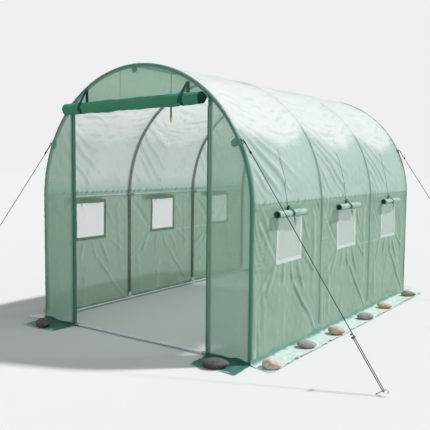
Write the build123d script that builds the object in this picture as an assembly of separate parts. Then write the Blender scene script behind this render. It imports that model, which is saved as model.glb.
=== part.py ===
from build123d import *
import os
from math import cos, pi, radians, sin

# Walk-in polytunnel greenhouse: four steel hoops on ground rails, a sewn cloth cover, guy ropes.
# Millimetres. X runs across the tunnel, Y along it with the door end at -Y, Z is up.
# The origin is on the ground in the middle of the tunnel.

# Driving dimensions of the tunnel
tunnel_width = 2000.0
tunnel_length = 3000.0
wall_height = 1000.0
bow_steps = 36
bay_count = 3
cloth = 2.0
seat = 0.3

# Steel tubes and the sockets that join them. Round bars are drawn with flat sides, measured across flats.
tube_sides = 8
rope_sides = 6
hoop_tube = 25.0
rail_tube = 19.0
hoop_socket = 29.0
rail_socket = 24.0
socket_fit = 0.15
fitting_reach = 50.0
foot_socket_height = 70.0
foot_floor = 3.0
foot_lift = 1.0
hoop_joint_steps = 12
hoop_joint_gap = 4.0
hoop_joint_depth = 1.2

# Door end and posts
door_clear_width = 1290.0
door_top = 1722.0
zip_tape_width = 26.0
tape = 1.2
door_roll_length = 1330.0
door_roll_radius = 42.5
door_roll_core = 15.0
door_roll_pitch = 3.0
roll_corners = 8
door_roll_height = 1712.0
door_tie_spacing = 965.0
door_tie_width = 26.0
door_tie_top = 1838.0
tie_web = 1.5
tie_pin = 3.0

# Windows, one in the middle of each bay on both sides
window_width = 325.0
window_bottom = 642.0
window_height = 300.0
window_border = 26.0
screen_sheet = 1.0
window_roll_length = 410.0
window_roll_shift = 50.0
window_roll_radius = 27.5
window_roll_core = 14.0
window_roll_pitch = 5.0
window_roll_height = 963.0
window_tie_width = 18.0
window_tie_rise = 44.0

# Sewn seams and the skirt that lies on the ground
seam_height = 1040.0
side_skirt = 180.0
end_skirt = 205.0
side_skirt_overrun = 50.0
end_skirt_overrun = 20.0

# Straps on the end hoops, rope rings, guy ropes and pegs
strap_angle = 26.5
strap_reach = 58.0
strap_width = 50.0
strap_back = 22.0
ring_radius = 12.0
ring_wire = 3.5
ring_stand = 16.0
tab_width = 16.0
tab_rise = 8.0
rope = 5.0
rope_top_turn = 6.5
rope_peg_turn = 10.0
turn_steps = 3
ring_slack = 1.0
peg_slack = 2.0
rope_top_tail = 90.0
rope_loop_share = 0.198
peg_out = 875.0
left_peg_splay = 345.0
peg_rod = 7.0
peg_grip_height = 30.0
peg_hook_turn = 11.0
peg_above_loop = 16.0
slider_size = (46.0, 16.0, 9.0)
knot_size = (20.0, 14.0, 10.0)

# Watering drop that hangs from the ridge
drop_from_front = 410.0
drop_clip_width = 16.0
drop_hose = 6.0
drop_pipe = 13.0
drop_pipe_top = 1765.0
nozzle_top = 1646.0
nozzle_tip = 1605.0
nozzle_body = 17.0
nozzle_mouth = 9.0

# Pebbles that weigh the skirt down: length, breadth, height, turn of the length from the X axis
pebble_sides = 8
pebble_rings = [(0.0, 0.72), (0.28, 1.0), (0.62, 0.92), (0.88, 0.62), (1.0, 0.3)]
front_pebble = (182, 116, 62, 30)
front_pebble_place = (838, 155)
side_pebbles = [
    (136, 112, 62, 25), (146, 100, 56, 38), (134, 104, 62, 20),
    (146, 98, 56, 34), (140, 92, 48, 16), (158, 94, 52, 28),
]
side_pebble_places = [(50, 130), (590, 102), (1040, 130), (1635, 128), (2135, 116), (2790, 110)]
left_pebble_lag = 110
rear_pebbles = [(146, 100, 56, 20), (136, 110, 62, -15), (150, 98, 54, 10)]
rear_pebble_pitch = 720
rear_pebble_reach = 112

# Places worked out from the values above
half_width = tunnel_width / 2
half_length = tunnel_length / 2
hoop_line = half_width - cloth - seat - hoop_socket / 2
end_line = half_length - cloth - seat - hoop_socket / 2
bay = 2 * end_line / bay_count
hoop_places = [-end_line + bay * i for i in range(bay_count + 1)]
bay_middles = [-end_line + bay * (i + 0.5) for i in range(bay_count)]
ground_rail_height = foot_lift + rail_socket / 2
post_line = door_clear_width / 2 + hoop_tube / 2
crown_height = wall_height + hoop_line
bow_step = 2 * hoop_line * sin(pi / 2 / bow_steps)
arch_length = 2 * wall_height + bow_steps * bow_step
fitting_places = [wall_height, arch_length / 2, arch_length - wall_height]
joint_places = [fitting_places[i] + way * hoop_joint_steps * bow_step for i, way in ((0, 1), (2, -1))]
strap_place = wall_height + bow_step * bow_steps * radians(strap_angle) / pi
door_roll_place = -half_length - tie_web - 2 * seat - door_roll_radius
window_roll_reach = tape + tie_web + 3 * seat + window_roll_radius
big = 4 * tunnel_length

os.makedirs("parts", exist_ok=True)


def write(name, *pieces):
    """Writes one named node from its separate solids."""
    solids = [s for piece in pieces for s in piece.solids()]
    body = solids[0] if len(solids) == 1 else Compound(children=solids)
    export_step(body, f"parts/{name}.step")


def block(low, high):
    """A box between two opposite corners."""
    size = [h - l for l, h in zip(low, high)]
    return Pos(*low) * Box(*size, align=(Align.MIN, Align.MIN, Align.MIN))


def flats(width, sides=tube_sides):
    """The outline of a round bar, with flat sides, one of them across the X axis."""
    return RegularPolygon(width / 2, sides, major_radius=False, rotation=180 / sides)


def bar(start, end, width, sides=tube_sides):
    """A straight bar between two points, with a flat side towards Y, or towards X if it runs along Y."""
    along = Vector(*end) - Vector(*start)
    level = Vector(1, 0, 0) if abs(along.normalized().Y) > 0.9 else Vector(0, 1, 0)
    plane = Plane(origin=start, x_dir=level - along * (level.dot(along) / along.dot(along)), z_dir=along)
    return extrude(plane * flats(width, sides), along.length)


def rod(points, width, level):
    """A thin bar through a row of points, with a flat side towards the level direction."""
    plane = Plane(origin=points[0], x_dir=level, z_dir=points[1] - points[0])
    path = Polyline(*points)
    return sweep(plane * flats(width, rope_sides), path=path, transition=Transition.RIGHT)


def arch_corners(half):
    """The corners of the tunnel's outline as (x, z): straight walls under a bow of even steps."""
    turns = [pi * i / bow_steps for i in range(bow_steps + 1)]
    bow = [(half * cos(a), wall_height + half * sin(a)) for a in turns]
    return [(half, 0), *bow, (-half, 0)]


def arch_frame(distance, place):
    """The plane across the hoop line at a distance along it from the right foot. Its X points outwards."""
    corners = [Vector(x, place, z) for x, z in arch_corners(hoop_line)]
    for start, end in zip(corners, corners[1:]):
        span = (end - start).length
        if distance <= span + 0.001:
            break
        distance -= span
    along = (end - start).normalized()
    outwards = Vector(0, 1, 0).cross(along)
    return Plane(origin=start + along * distance, x_dir=outwards, z_dir=along)


def along_arch(section, start, end, place):
    """Carries a section along the arch between two distances, with its X outwards and its Y along Y."""
    corners = [wall_height + bow_step * i for i in range(bow_steps + 1)]
    stops = [start, *[c for c in corners if start < c < end], end]
    path = Polyline(*[arch_frame(stop, place).origin for stop in stops])
    return sweep(arch_frame(start, place) * section, path=path, transition=Transition.RIGHT)


def arch_over(x):
    """The distance along the arch, and the height, of its point over a place across the tunnel."""
    passed = wall_height
    corners = arch_corners(hoop_line)[1:-1]
    for (x1, z1), (x2, z2) in zip(corners, corners[1:]):
        share = (x1 - x) / (x1 - x2)
        if share < 1:
            return passed + share * bow_step, z1 + share * (z2 - z1)
        passed += bow_step


def hoop(place):
    """One hoop: two legs and a bow of three tubes, with sockets for the ridge tube and the side rails."""
    foot = foot_floor + seat
    body = along_arch(flats(hoop_tube), foot, arch_length - foot, place)
    for distance in fitting_places:
        ends = (distance - fitting_reach, distance + fitting_reach)
        body += along_arch(flats(hoop_socket), *ends, place)
        centre = arch_frame(distance, place).origin
        for d in neighbours(place):
            body += bar(centre, centre + Vector(0, d * fitting_reach, 0), rail_socket)
    groove = flats(hoop_tube + 2) - flats(hoop_tube - 2 * hoop_joint_depth)
    for distance in joint_places:
        ends = (distance - hoop_joint_gap / 2, distance + hoop_joint_gap / 2)
        body -= along_arch(groove, *ends, place)
    return body


def neighbours(place):
    """The directions along Y in which a hoop has another hoop."""
    return [d for d in (-1, 1) if abs(place + d * bay) < end_line + 1]


def rails(side, height):
    """One straight rail in each bay, from socket to socket."""
    return [
        bar((side, a + fitting_reach, height), (side, b - fitting_reach, height), rail_tube)
        for a, b in zip(hoop_places, hoop_places[1:])
    ]


def foot_fitting(side, place):
    """The foot of a hoop: a cup for the leg, stubs for the ground rails."""
    ends = [(side, place + d * fitting_reach, ground_rail_height) for d in neighbours(place)]
    if abs(place) > end_line - 1:
        inward = side - fitting_reach * (1 if side > 0 else -1)
        ends.append((inward, place, ground_rail_height))
    body = bar((side, place, 0), (side, place, foot_socket_height), hoop_socket)
    for end in ends:
        body += bar((side, place, ground_rail_height), end, rail_socket)
    bore = hoop_tube + 2 * socket_fit
    return body - bar((side, place, foot_floor), (side, place, foot_socket_height + 1), bore)


def post(side, place):
    """An upright with a tee round the ground rail at its foot and a saddle round the hoop at its top."""
    foot = Vector(side, place, ground_rail_height)
    reach = Vector(fitting_reach, 0, 0)
    distance, top = arch_over(side)
    half = fitting_reach / 2
    body = bar(foot, (side, place, top), hoop_tube) + bar(foot - reach, foot + reach, rail_socket)
    body += along_arch(flats(hoop_socket), distance - half, distance + half, place)
    bore = flats(hoop_tube + 2 * socket_fit)
    body -= along_arch(bore, distance - fitting_reach, distance + fitting_reach, place)
    return body - bar(foot - reach * 1.1, foot + reach * 1.1, rail_tube + 2 * socket_fit)


def end_rail(place):
    """The ground rail across one end of the tunnel, from foot to foot."""
    reach = hoop_line - fitting_reach
    z = ground_rail_height
    return bar((-reach, place, z), (reach, place, z), rail_tube)


def tunnel_block(half, start, end):
    """A solid of the tunnel's outline between two places along Y."""
    across = Plane(origin=(0, end, 0), x_dir=(1, 0, 0), z_dir=(0, -1, 0))
    return extrude(across * make_face(Polyline(*arch_corners(half), close=True)), end - start)


def cover_skin():
    """The cloth over the hoops, between the two hems."""
    outside = tunnel_block(half_width, -end_line, end_line)
    return outside - tunnel_block(half_width - cloth, -end_line - 1, end_line + 1)


def wall(side):
    """One side wall of the cover up to the seam, with its window openings."""
    low, high = sorted((0, side * (half_width + 1)))
    body = cover_skin() & block((low, -big, 0), (high, big, seam_height))
    for middle in bay_middles:
        body -= window_block(side, middle, window_width, 0, window_height, 0, 2 * cloth)
    return body


def window_block(side, middle, width, sink, height, rise, depth):
    """A block on a wall's outer face at a window: sink and rise move its lower and upper edge out."""
    x = sorted((side * (half_width - depth / 2), side * (half_width + depth / 2)))
    low = (x[0], middle - width / 2, window_bottom - sink)
    return block(low, (x[1], middle + width / 2, window_bottom + height + rise))


def window_frame(side, middle):
    """The white tape sewn round a window opening, on the outside of the wall."""
    border = window_border
    width = window_width + 2 * border
    body = window_block(side, middle, width, border, window_height, border, 2 * tape)
    body -= window_block(side, middle, window_width, 0, window_height, 0, 4 * tape)
    return body - tunnel_block(half_width, -half_length, half_length)


def window_screen(side, middle):
    """The fine net in a window opening, drawn as a thin sheet."""
    x = sorted((side * (half_width - cloth), side * (half_width - cloth + screen_sheet)))
    low = (x[0], middle - window_width / 2, window_bottom)
    return block(low, (x[1], middle + window_width / 2, window_bottom + window_height))


def rolled_cloth(radius, core, pitch, length):
    """A sheet rolled up round the X axis, with its end face wound in even turns from core to radius."""
    steps = int((radius - core - cloth) / pitch * roll_corners)
    outer, inner = [], []
    for i in range(steps + 1):
        angle = 2 * pi * (i - steps) / roll_corners - pi / 2
        r = radius - (steps - i) * pitch / roll_corners
        outer.append((r * cos(angle), r * sin(angle)))
        inner.append(((r - cloth) * cos(angle), (r - cloth) * sin(angle)))
    face = make_face(Polyline(*outer, *reversed(inner), close=True))
    face = Plane(origin=(-length / 2, 0, 0), x_dir=(0, 1, 0), z_dir=(1, 0, 0)) * face
    return extrude(face, length)


def belt(big_centre, big_radius, small_centre, small_radius, width):
    """A strap round two pins that lie along X. The centres are (y, z)."""
    def outline(grow):
        first = Pos(*big_centre) * flats(2 * (big_radius + grow))
        second = Pos(*small_centre) * flats(2 * (small_radius + grow))
        return make_hull(first.edges() + second.edges())

    ring = outline(tie_web) - outline(0)
    ring = Plane(origin=(-width / 2, 0, 0), x_dir=(0, 1, 0), z_dir=(1, 0, 0)) * ring
    return extrude(ring, width)


def window_roll(side, middle):
    """A window flap rolled up and hung at the top of its window, a little towards the door end."""
    reach = half_width + window_roll_reach
    roll = rolled_cloth(window_roll_radius, window_roll_core, window_roll_pitch, window_roll_length)
    place = middle - window_roll_shift
    return Pos(side * reach, place, window_roll_height) * (Rot(0, 0, 90 * side) * roll)


def window_tie(side, middle):
    """The strap that holds a window roll, sewn to the wall above it."""
    pin = tie_web / 2
    strap = belt(
        (-window_roll_reach, window_roll_height), window_roll_radius + seat,
        (-pin - tie_web - seat, window_roll_height + window_tie_rise), pin, window_tie_width,
    )
    return Pos(side * half_width, middle - window_roll_shift, 0) * (Rot(0, 0, 90 * side) * strap)


def end_panel(outward):
    """The flat cloth of one end, inside the hem."""
    face = outward * half_length
    start, end = sorted((face, face - outward * cloth))
    return tunnel_block(hoop_line, start, end)


def hem(outward):
    """The dark doubled cloth that turns round an end hoop, from the end panel to the roof."""
    inner = hoop_socket / 2 + seat
    ring = flats(2 * (inner + cloth)) - flats(2 * inner)
    reach = inner + 2 * cloth
    quarter = ring & (Pos(reach / 2, outward * reach / 2) * Rectangle(reach, reach))
    return along_arch(quarter, 0, arch_length, outward * end_line)


def flap(corners):
    """A skirt flap that lies flat on the ground."""
    return extrude(make_face(Polyline(*corners, close=True)), cloth)


def side_flap(side):
    """The skirt along one side wall."""
    near, far = half_width * side, (half_width + side_skirt) * side
    end = half_length + side_skirt_overrun
    return flap([(near, -half_length), (far, -end), (far, end), (near, half_length)])


def end_flap(outward, inner, outer):
    """A skirt flap across part of one end, between two places along X."""
    near, far = outward * half_length, outward * (half_length + end_skirt)
    spread = [x + end_skirt_overrun * (1 if x > 0 else -1) for x in (inner, outer)]
    return flap([(inner, near), (spread[0], far), (spread[1], far), (outer, near)])


def hoop_strap(outward, distance, with_tab):
    """A strap folded over an end hoop: flat on the end panel, round the hem and onto the roof."""
    inner = hoop_socket / 2 + seat + cloth
    ring = flats(2 * (inner + tape)) - flats(2 * inner)
    reach = inner + 2 * tape
    turn = ring & (Pos(reach / 2, outward * reach / 2) * Rectangle(reach, reach))
    front = Pos(-strap_reach / 2, outward * (inner + tape / 2)) * Rectangle(strap_reach, tape)
    back = Pos(inner + tape / 2, -outward * strap_back / 2) * Rectangle(tape, strap_back)
    ends = (distance - strap_width / 2, distance + strap_width / 2)
    body = along_arch(turn + front + back, *ends, outward * end_line)
    if with_tab:
        half, top = tab_width / 2, half_width + tab_rise - hoop_line
        tab = block((inner + tape / 2, -half, -half), (top, half, half))
        body += arch_frame(distance, outward * end_line) * tab
    return body


def strap_frame(side, outward):
    """The plane across the hoop line at the middle of a rope strap."""
    return arch_frame(strap_place if side > 0 else arch_length - strap_place, outward * end_line)


class Stay:
    """One guy rope with its ring, its knot, its slider and its peg."""

    def __init__(self, side, outward):
        self.side, self.outward = side, outward
        splay = left_peg_splay if side < 0 else 0
        self.grip = Vector(
            side * (half_width + peg_out), outward * (end_line + splay), peg_grip_height
        )
        strap = strap_frame(side, outward)
        self.ring_centre = strap.origin + strap.x_dir * (half_width + ring_stand - hoop_line)
        self.along = (self.grip - self.ring_centre).normalized()
        level = Vector(0, outward, 0)
        self.across = (level - self.along * level.dot(self.along)).normalized()
        self.up = self.across.cross(self.along) * (-side * outward)
        self.up = self.up if self.up.Z > 0 else self.up * -1
        aside = self.across * (rope_peg_turn - rope_top_turn)
        self.grip += aside
        self.top = self.ring_centre + aside + self.along * (ring_radius + ring_slack)
        self.bottom = self.grip - self.along * peg_slack
        self.reach = (self.bottom - self.top).length
        self.doubled = self.reach * rope_loop_share

    def point(self, down, over):
        """A point in the rope's own plane: down it from the top, over towards the open side."""
        return self.top + self.along * down + self.across * over

    def turn(self, down, over, radius, way):
        """The points of a half turn round a centre in the rope's own plane."""
        angles = [pi * i / turn_steps for i in range(turn_steps + 1)]
        return [self.point(down - way * radius * sin(a), over + way * radius * cos(a)) for a in angles]

    def rope(self):
        """The rope: from its knot up round the ring, down, round the peg and back up to the slider."""
        t, p = rope_top_turn, rope_peg_turn
        points = [self.point(rope_top_tail, 2 * t - p), *self.turn(0, t - p, t, 1)]
        points += self.turn(self.reach, 0, p, -1)
        points.append(self.point(self.reach - self.doubled, p))
        wide, long, thick = knot_size
        plane = Plane(origin=self.point(rope_top_tail, t - p), x_dir=self.across, z_dir=self.up)
        knot = plane * chamfer(Box(wide, long, thick).edges(), thick / 5)
        return rod(points, rope, self.up) + knot

    def ring(self, grow=0.0):
        """The steel ring in the strap's tab, or the room that it needs."""
        along, level = self.along, Vector(0, 1, 0)
        z_dir = (level - along * level.dot(along)).normalized()
        plane = Plane(origin=self.ring_centre, x_dir=along, z_dir=z_dir)
        wire = ring_wire / 2 + grow
        ring = flats(2 * (ring_radius + wire)) - flats(2 * (ring_radius - wire))
        return extrude(plane * ring, wire, both=True)

    def slider(self):
        """The flat runner with two holes that keeps the rope tight."""
        long, wide, thick = slider_size
        plane = Plane(
            origin=self.point(self.reach - self.doubled + wide / 2, 0),
            x_dir=self.across, z_dir=self.up,
        )
        body = plane * chamfer(Box(long, wide, thick).edges().filter_by(Axis.Z), wide / 4)
        for over in (-rope_peg_turn, rope_peg_turn):
            ends = [self.point(self.reach - self.doubled + s, over) for s in (-wide, 2 * wide)]
            body -= rod(ends, rope + 2 * seat, self.up)
        return body

    def peg(self):
        """The round steel peg above the ground, leaning away, with a hooked head."""
        lean = self.up
        foot = self.grip - lean * (self.grip.Z / lean.Z)
        neck = self.grip + lean * peg_above_loop
        turn = peg_hook_turn
        out = self.along
        hook = [
            neck + lean * turn * sin(a) + out * turn * (1 - cos(a))
            for a in [pi * i / turn_steps for i in range(turn_steps + 1)]
        ]
        body = rod([foot - lean * peg_rod, *hook], peg_rod, self.along)
        return body & block((-big, -big, 0), (big, big, big))


def drop():
    """The thin hose and the stiff pipe of the watering drop, hung on a clip round the ridge tube."""
    y = -half_length + drop_from_front
    half = drop_clip_width / 2
    body = bar((0, y - half, crown_height), (0, y + half, crown_height), rail_socket)
    body += bar((0, y, crown_height), (0, y, drop_pipe_top - 1), drop_hose)
    body += bar((0, y, drop_pipe_top), (0, y, nozzle_top), drop_pipe)
    bore = rail_tube + 2 * socket_fit
    return body - bar((0, y - 2 * half, crown_height), (0, y + 2 * half, crown_height), bore)


def stacked(rings):
    """A solid with flat faces between rings that are the same outline at other sizes and heights."""
    faces = [make_face(Polyline(*ring, close=True)) for ring in (rings[0], rings[-1])]
    for low, high in zip(rings, rings[1:]):
        for i in range(len(low)):
            corners = (low[i - 1], low[i], high[i], high[i - 1])
            faces.append(make_face(Polyline(*corners, close=True)))
    return Solid(Shell(faces))


def oval(long, wide, height, sides):
    """The corners of a level ring round the Z axis, long along X."""
    turns = [2 * pi * (i + 0.5) / sides for i in range(sides)]
    return [(long / 2 * cos(a), wide / 2 * sin(a), height) for a in turns]


def nozzle():
    """The brass nozzle: a body, a shoulder and a narrow mouth."""
    tall = nozzle_top - nozzle_tip
    profile = [
        (0, nozzle_mouth * 0.6), (0.12, nozzle_mouth), (0.3, nozzle_mouth), (0.42, nozzle_body * 0.8),
        (0.5, nozzle_body), (0.9, nozzle_body), (1, nozzle_body * 0.85),
    ]
    rings = [oval(width, width, share * tall, tube_sides) for share, width in profile]
    return Pos(0, drop_from_front - half_length, nozzle_tip) * stacked(rings)


def pebble(size, x, y, way=1):
    """A flattened stone that rests on the skirt, turned the given way."""
    long, wide, tall, turn = size
    rings = [oval(long * part, wide * part, share * tall, pebble_sides) for share, part in pebble_rings]
    return Pos(x, y, cloth) * (Rot(0, 0, way * turn) * stacked(rings))


def pebbles():
    """All the stones: one on each front flap, a row along each side, a row behind."""
    stones = []
    across, reach = front_pebble_place
    for side in (-1, 1):
        stones.append(pebble(front_pebble, side * across, -half_length - reach, side))
        lag = left_pebble_lag if side < 0 else 0
        for size, (along, out) in zip(side_pebbles, side_pebble_places):
            stones.append(pebble(size, side * (half_width + out), along + lag - half_length, side))
    for i, size in enumerate(rear_pebbles):
        stones.append(pebble(size, (i - 1) * rear_pebble_pitch, half_length + rear_pebble_reach))
    return stones


# The steel frame
for name, place in zip(("front_hoop", "second_hoop", "third_hoop", "rear_hoop"), hoop_places):
    write(name, hoop(place))
sides = (-hoop_line, hoop_line)
write("ridge_tube", *rails(0, crown_height))
write("side_rails", *[r for x in sides for r in rails(x, wall_height)])
write("ground_side_rails", *[r for x in sides for r in rails(x, ground_rail_height)])
write("front_ground_rail", end_rail(-end_line))
write("rear_ground_rail", end_rail(end_line))
write("left_door_post", post(-post_line, -end_line))
write("right_door_post", post(post_line, -end_line))
write("rear_posts", post(-post_line, end_line), post(post_line, end_line))
write("foot_fittings", *[foot_fitting(x, y) for x in sides for y in hoop_places])

# The cloth cover
write("roof_cover", cover_skin() & block((-big, -big, seam_height), (big, big, big)))
write("left_wall_cover", wall(-1))
write("right_wall_cover", wall(1))
door_half = door_clear_width / 2
front = end_panel(-1)
write("left_front_panel", front & block((-big, -big, 0), (-door_half, 0, door_top)))
write("right_front_panel", front & block((door_half, -big, 0), (big, 0, door_top)))
write("front_top_panel", front & block((-big, -big, door_top), (big, 0, big)))
write("rear_panel", end_panel(1))
write("front_hem", hem(-1))
write("rear_hem", hem(1))
write("door_zip_tapes", *[
    block((min(x, x + side * zip_tape_width), -half_length - tape, cloth),
          (max(x, x + side * zip_tape_width), -half_length, door_top - door_roll_radius * 2))
    for side, x in ((-1, -door_half), (1, door_half))
])
door_roll = rolled_cloth(door_roll_radius, door_roll_core, door_roll_pitch, door_roll_length)
write("door_roll", Pos(0, door_roll_place, door_roll_height) * door_roll)
tie_pin_place = -half_length - tie_web - tie_pin - seat
write("door_ties", *[
    Pos(x, 0, 0) * belt((door_roll_place, door_roll_height), door_roll_radius + seat,
                        (tie_pin_place, door_tie_top), tie_pin, door_tie_width)
    for x in (-door_tie_spacing / 2, door_tie_spacing / 2)
])
windows = [(side, middle) for side in (-1, 1) for middle in bay_middles]
write("window_frames", *[window_frame(*w) for w in windows])
write("window_screens", *[window_screen(*w) for w in windows])
write("window_rolls", *[window_roll(*w) for w in windows])
write("window_ties", *[window_tie(*w) for w in windows])
write("left_skirt", side_flap(-1))
write("right_skirt", side_flap(1))
write("front_left_skirt", end_flap(-1, -half_width, -door_half))
write("front_right_skirt", end_flap(-1, door_half, half_width))
write("rear_skirt", end_flap(1, -half_width, half_width))

# Straps, guy ropes and pegs
stays = {
    f"{end}_{side}": Stay(x, out)
    for end, out in (("front", -1), ("rear", 1))
    for side, x in (("left", -1), ("right", 1))
}
straps = [hoop_strap(out, arch_length / 2, False) for out in (-1, 1)]
for stay in stays.values():
    distance = strap_place if stay.side > 0 else arch_length - strap_place
    straps.append(hoop_strap(stay.outward, distance, True) - stay.ring(seat))
write("hoop_straps", *straps)
for name, stay in stays.items():
    write(f"{name}_guy_rope", stay.rope())
write("strap_rings", *[s.ring() for s in stays.values()])
write("rope_sliders", *[s.slider() for s in stays.values()])
write("ground_pegs", *[s.peg() for s in stays.values()])

# The watering drop and the stones
write("watering_drop", drop())
write("spray_nozzle", nozzle())
write("skirt_stones", *pebbles())
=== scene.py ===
import math

import bpy
import numpy as np
from mathutils import Matrix, Vector


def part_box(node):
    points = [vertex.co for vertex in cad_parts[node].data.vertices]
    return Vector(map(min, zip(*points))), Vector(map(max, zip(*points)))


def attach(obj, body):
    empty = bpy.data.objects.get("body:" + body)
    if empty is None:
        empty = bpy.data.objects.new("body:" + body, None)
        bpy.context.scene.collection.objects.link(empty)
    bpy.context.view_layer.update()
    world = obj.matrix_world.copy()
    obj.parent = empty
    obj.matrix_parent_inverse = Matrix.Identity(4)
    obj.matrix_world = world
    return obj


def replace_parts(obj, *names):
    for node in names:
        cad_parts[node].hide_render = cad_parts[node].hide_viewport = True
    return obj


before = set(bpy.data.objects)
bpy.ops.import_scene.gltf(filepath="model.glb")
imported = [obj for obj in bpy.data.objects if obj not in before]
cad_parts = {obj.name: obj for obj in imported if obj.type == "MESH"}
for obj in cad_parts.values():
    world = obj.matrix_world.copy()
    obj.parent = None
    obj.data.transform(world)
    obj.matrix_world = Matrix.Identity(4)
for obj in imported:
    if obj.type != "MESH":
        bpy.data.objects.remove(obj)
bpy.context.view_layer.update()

# sizes of the tunnel, read from the frame; an inset is the way from a box's face to the line in it
insets = {"rail": 0.0095, "hoop": 0.0145, "zipTape": 0.026, "cloth": 0.001}
tubeHalf = 0.0125
roofLow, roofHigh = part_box("roof_cover")
halfWidth = roofHigh.x
wallHeight = roofHigh.z - halfWidth
seamHeight = roofLow.z
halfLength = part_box("rear_panel")[1].y
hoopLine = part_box("side_rails")[1].x - insets["rail"]
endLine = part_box("rear_hoop")[1].y - insets["hoop"]
bay = 2 * endLine / 3
hoopPlaces = [-endLine + bay * i for i in range(4)]
bayMiddles = [-endLine + bay * (i + 0.5) for i in range(3)]
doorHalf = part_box("door_zip_tapes")[1].x - insets["zipTape"]
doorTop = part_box("front_top_panel")[0].z
windowLow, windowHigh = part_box("window_screens")
windowHalf = windowHigh.y - bayMiddles[2]
skinHalf = halfWidth - insets["cloth"]
bowLength = math.pi * skinHalf
skinLength = 2 * wallHeight + bowLength
archLength = 2 * wallHeight + math.pi * hoopLine
ridgeHeight = wallHeight + hoopLine
bothSides = ((1, "right"), (-1, "left"))
bothEnds = ((-1, "front"), (1, "rear"))


# meshes

def addPiece(name, points, faces, material, uv=None):
    mesh = bpy.data.meshes.new(name)
    mesh.from_pydata(np.asarray(points, np.float32).reshape(-1, 3).tolist(), [], faces)
    if uv is not None:
        corners = np.zeros(len(mesh.loops), np.int32)
        mesh.loops.foreach_get("vertex_index", corners)
        mesh.uv_layers.new(name="UVMap").data.foreach_set("uv", np.asarray(uv, np.float32)[corners].ravel())
    mesh.polygons.foreach_set("use_smooth", [True] * len(mesh.polygons))
    mesh.materials.append(materials[material])
    mesh.update()
    piece = bpy.data.objects.new(name, mesh)
    bpy.context.scene.collection.objects.link(piece)
    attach(piece, "root")
    return piece


def gridOf(*coordinates):
    # points, or their places on the flat cloth, from the grids of their coordinates
    return np.stack(np.broadcast_arrays(*coordinates), -1)


def crossed(rows, columns):
    return np.meshgrid(rows, columns, indexing="ij")


def addSheet(name, grid, flatGrid, material, slotName, cut, node=None, keep=None, **tones):
    # a sheet of cloth from a grid of points: cut is not used, keep leaves out quads, and the
    # tones darken and pale its points
    index = np.arange(grid[..., 0].size).reshape(grid.shape[:2])
    quads = np.stack([index[:-1, :-1], index[:-1, 1:], index[1:, 1:], index[1:, :-1]], -1)
    if keep is not None:
        quads = quads[keep]
    used, faces = np.unique(quads, return_inverse=True)
    points = grid.reshape(-1, 3)[used]
    flatPoints = flatGrid.reshape(-1, 2)[used]
    piece = addPiece(name, points, faces.reshape(-1, 4).tolist(), material, flatPoints)
    # the tones carry painted shade and painted light, with the cloth's own hem lines and stitches, and paler
    # skirt edges
    for key, tone in tones.items():
        layer = piece.data.attributes.new(key, "FLOAT", "POINT")
        layer.data.foreach_set("value", np.broadcast_to(tone, index.shape).ravel()[used].astype(np.float32))
    if node:
        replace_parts(piece, node)
    return piece


def ringFaces(count, sides, closed=False):
    # quads between rings of points, with a face over both ends of an open row
    faces = []
    for i in range(count if closed else count - 1):
        a, b = i * sides, (i + 1) % count * sides
        faces += [(a + j, a + (j + 1) % sides, b + (j + 1) % sides, b + j) for j in range(sides)]
    if not closed:
        faces.append(tuple(reversed(range(sides))))
        faces.append(tuple(range((count - 1) * sides, count * sides)))
    return faces


def tubeMesh(path, radius, sides, closed=False, upHint=(0, 0, 1)):
    # rings of points round a path, with one radius or one for each point of the path
    path = np.asarray(path, float)
    radius = np.broadcast_to(radius, (len(path),))
    along = np.gradient(path, axis=0)
    if closed:
        along = np.roll(path, -1, 0) - np.roll(path, 1, 0)
    along /= np.linalg.norm(along, axis=1)[:, None]
    side = np.cross(along[0], upHint)
    if np.linalg.norm(side) < 0.1:  # the path starts along the hint
        side = np.cross(along[0], (0, 1, 0.01))
    turns = np.linspace(0, 2 * math.pi, sides, endpoint=False)[:, None]
    rings = []
    for i, spot in enumerate(path):
        side = side - along[i] * side.dot(along[i])
        side /= np.linalg.norm(side)
        up = np.cross(side, along[i])
        rings.append(spot + radius[i] * (np.cos(turns) * side + np.sin(turns) * up))
    return np.concatenate(rings), ringFaces(len(path), sides, closed)


def joinPieces(name, parts, material):
    # one piece from several lists of points and faces
    points, faces, start = [], [], 0
    for morePoints, moreFaces in parts:
        points.append(morePoints)
        faces += [tuple(i + start for i in face) for face in moreFaces]
        start += len(morePoints)
    return addPiece(name, np.concatenate(points), faces, material)


def addTubes(name, paths, material, sides):
    # several tubes in one piece; each is a path with its radius
    return joinPieces(name, [tubeMesh(path, radius, sides) for path, radius in paths], material)


def distances(points):
    # how far along a path each of its points is
    return np.concatenate([[0], np.cumsum(np.linalg.norm(np.diff(points, axis=0), axis=1))])


def circlePoints(start, end, count):
    # pairs of cosine and sine on the way round from one angle to another
    turns = np.linspace(start, end, count)
    return np.stack([np.cos(turns), np.sin(turns)], -1)


# materials
materials = {}


def newTree(name):
    materials[name] = bpy.data.materials.new(name)
    materials[name].use_nodes = True
    materials[name].node_tree.nodes.clear()
    return materials[name].node_tree


def addNode(tree, kind, settings=None):
    # a node with its settings: a socket among them is linked to it
    node = tree.nodes.new(kind)
    for key, value in (settings or {}).items():
        if isinstance(value, bpy.types.NodeSocket):
            tree.links.new(value, node.inputs[key])
        elif isinstance(key, int) or key in node.inputs:
            node.inputs[key].default_value = value
        else:
            setattr(node, key, value)
    return node


def mathNode(tree, operation, first, second=0.0, third=0.0):
    return addNode(tree, "ShaderNodeMath", {"operation": operation, 0: first, 1: second, 2: third}).outputs[0]


def mixColour(tree, factor, first, second):
    first, second = ((*colour, 1) if isinstance(colour, tuple) else colour for colour in (first, second))
    return addNode(tree, "ShaderNodeMix", {"data_type": "RGBA", 0: factor, 6: first, 7: second}).outputs[2]


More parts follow.
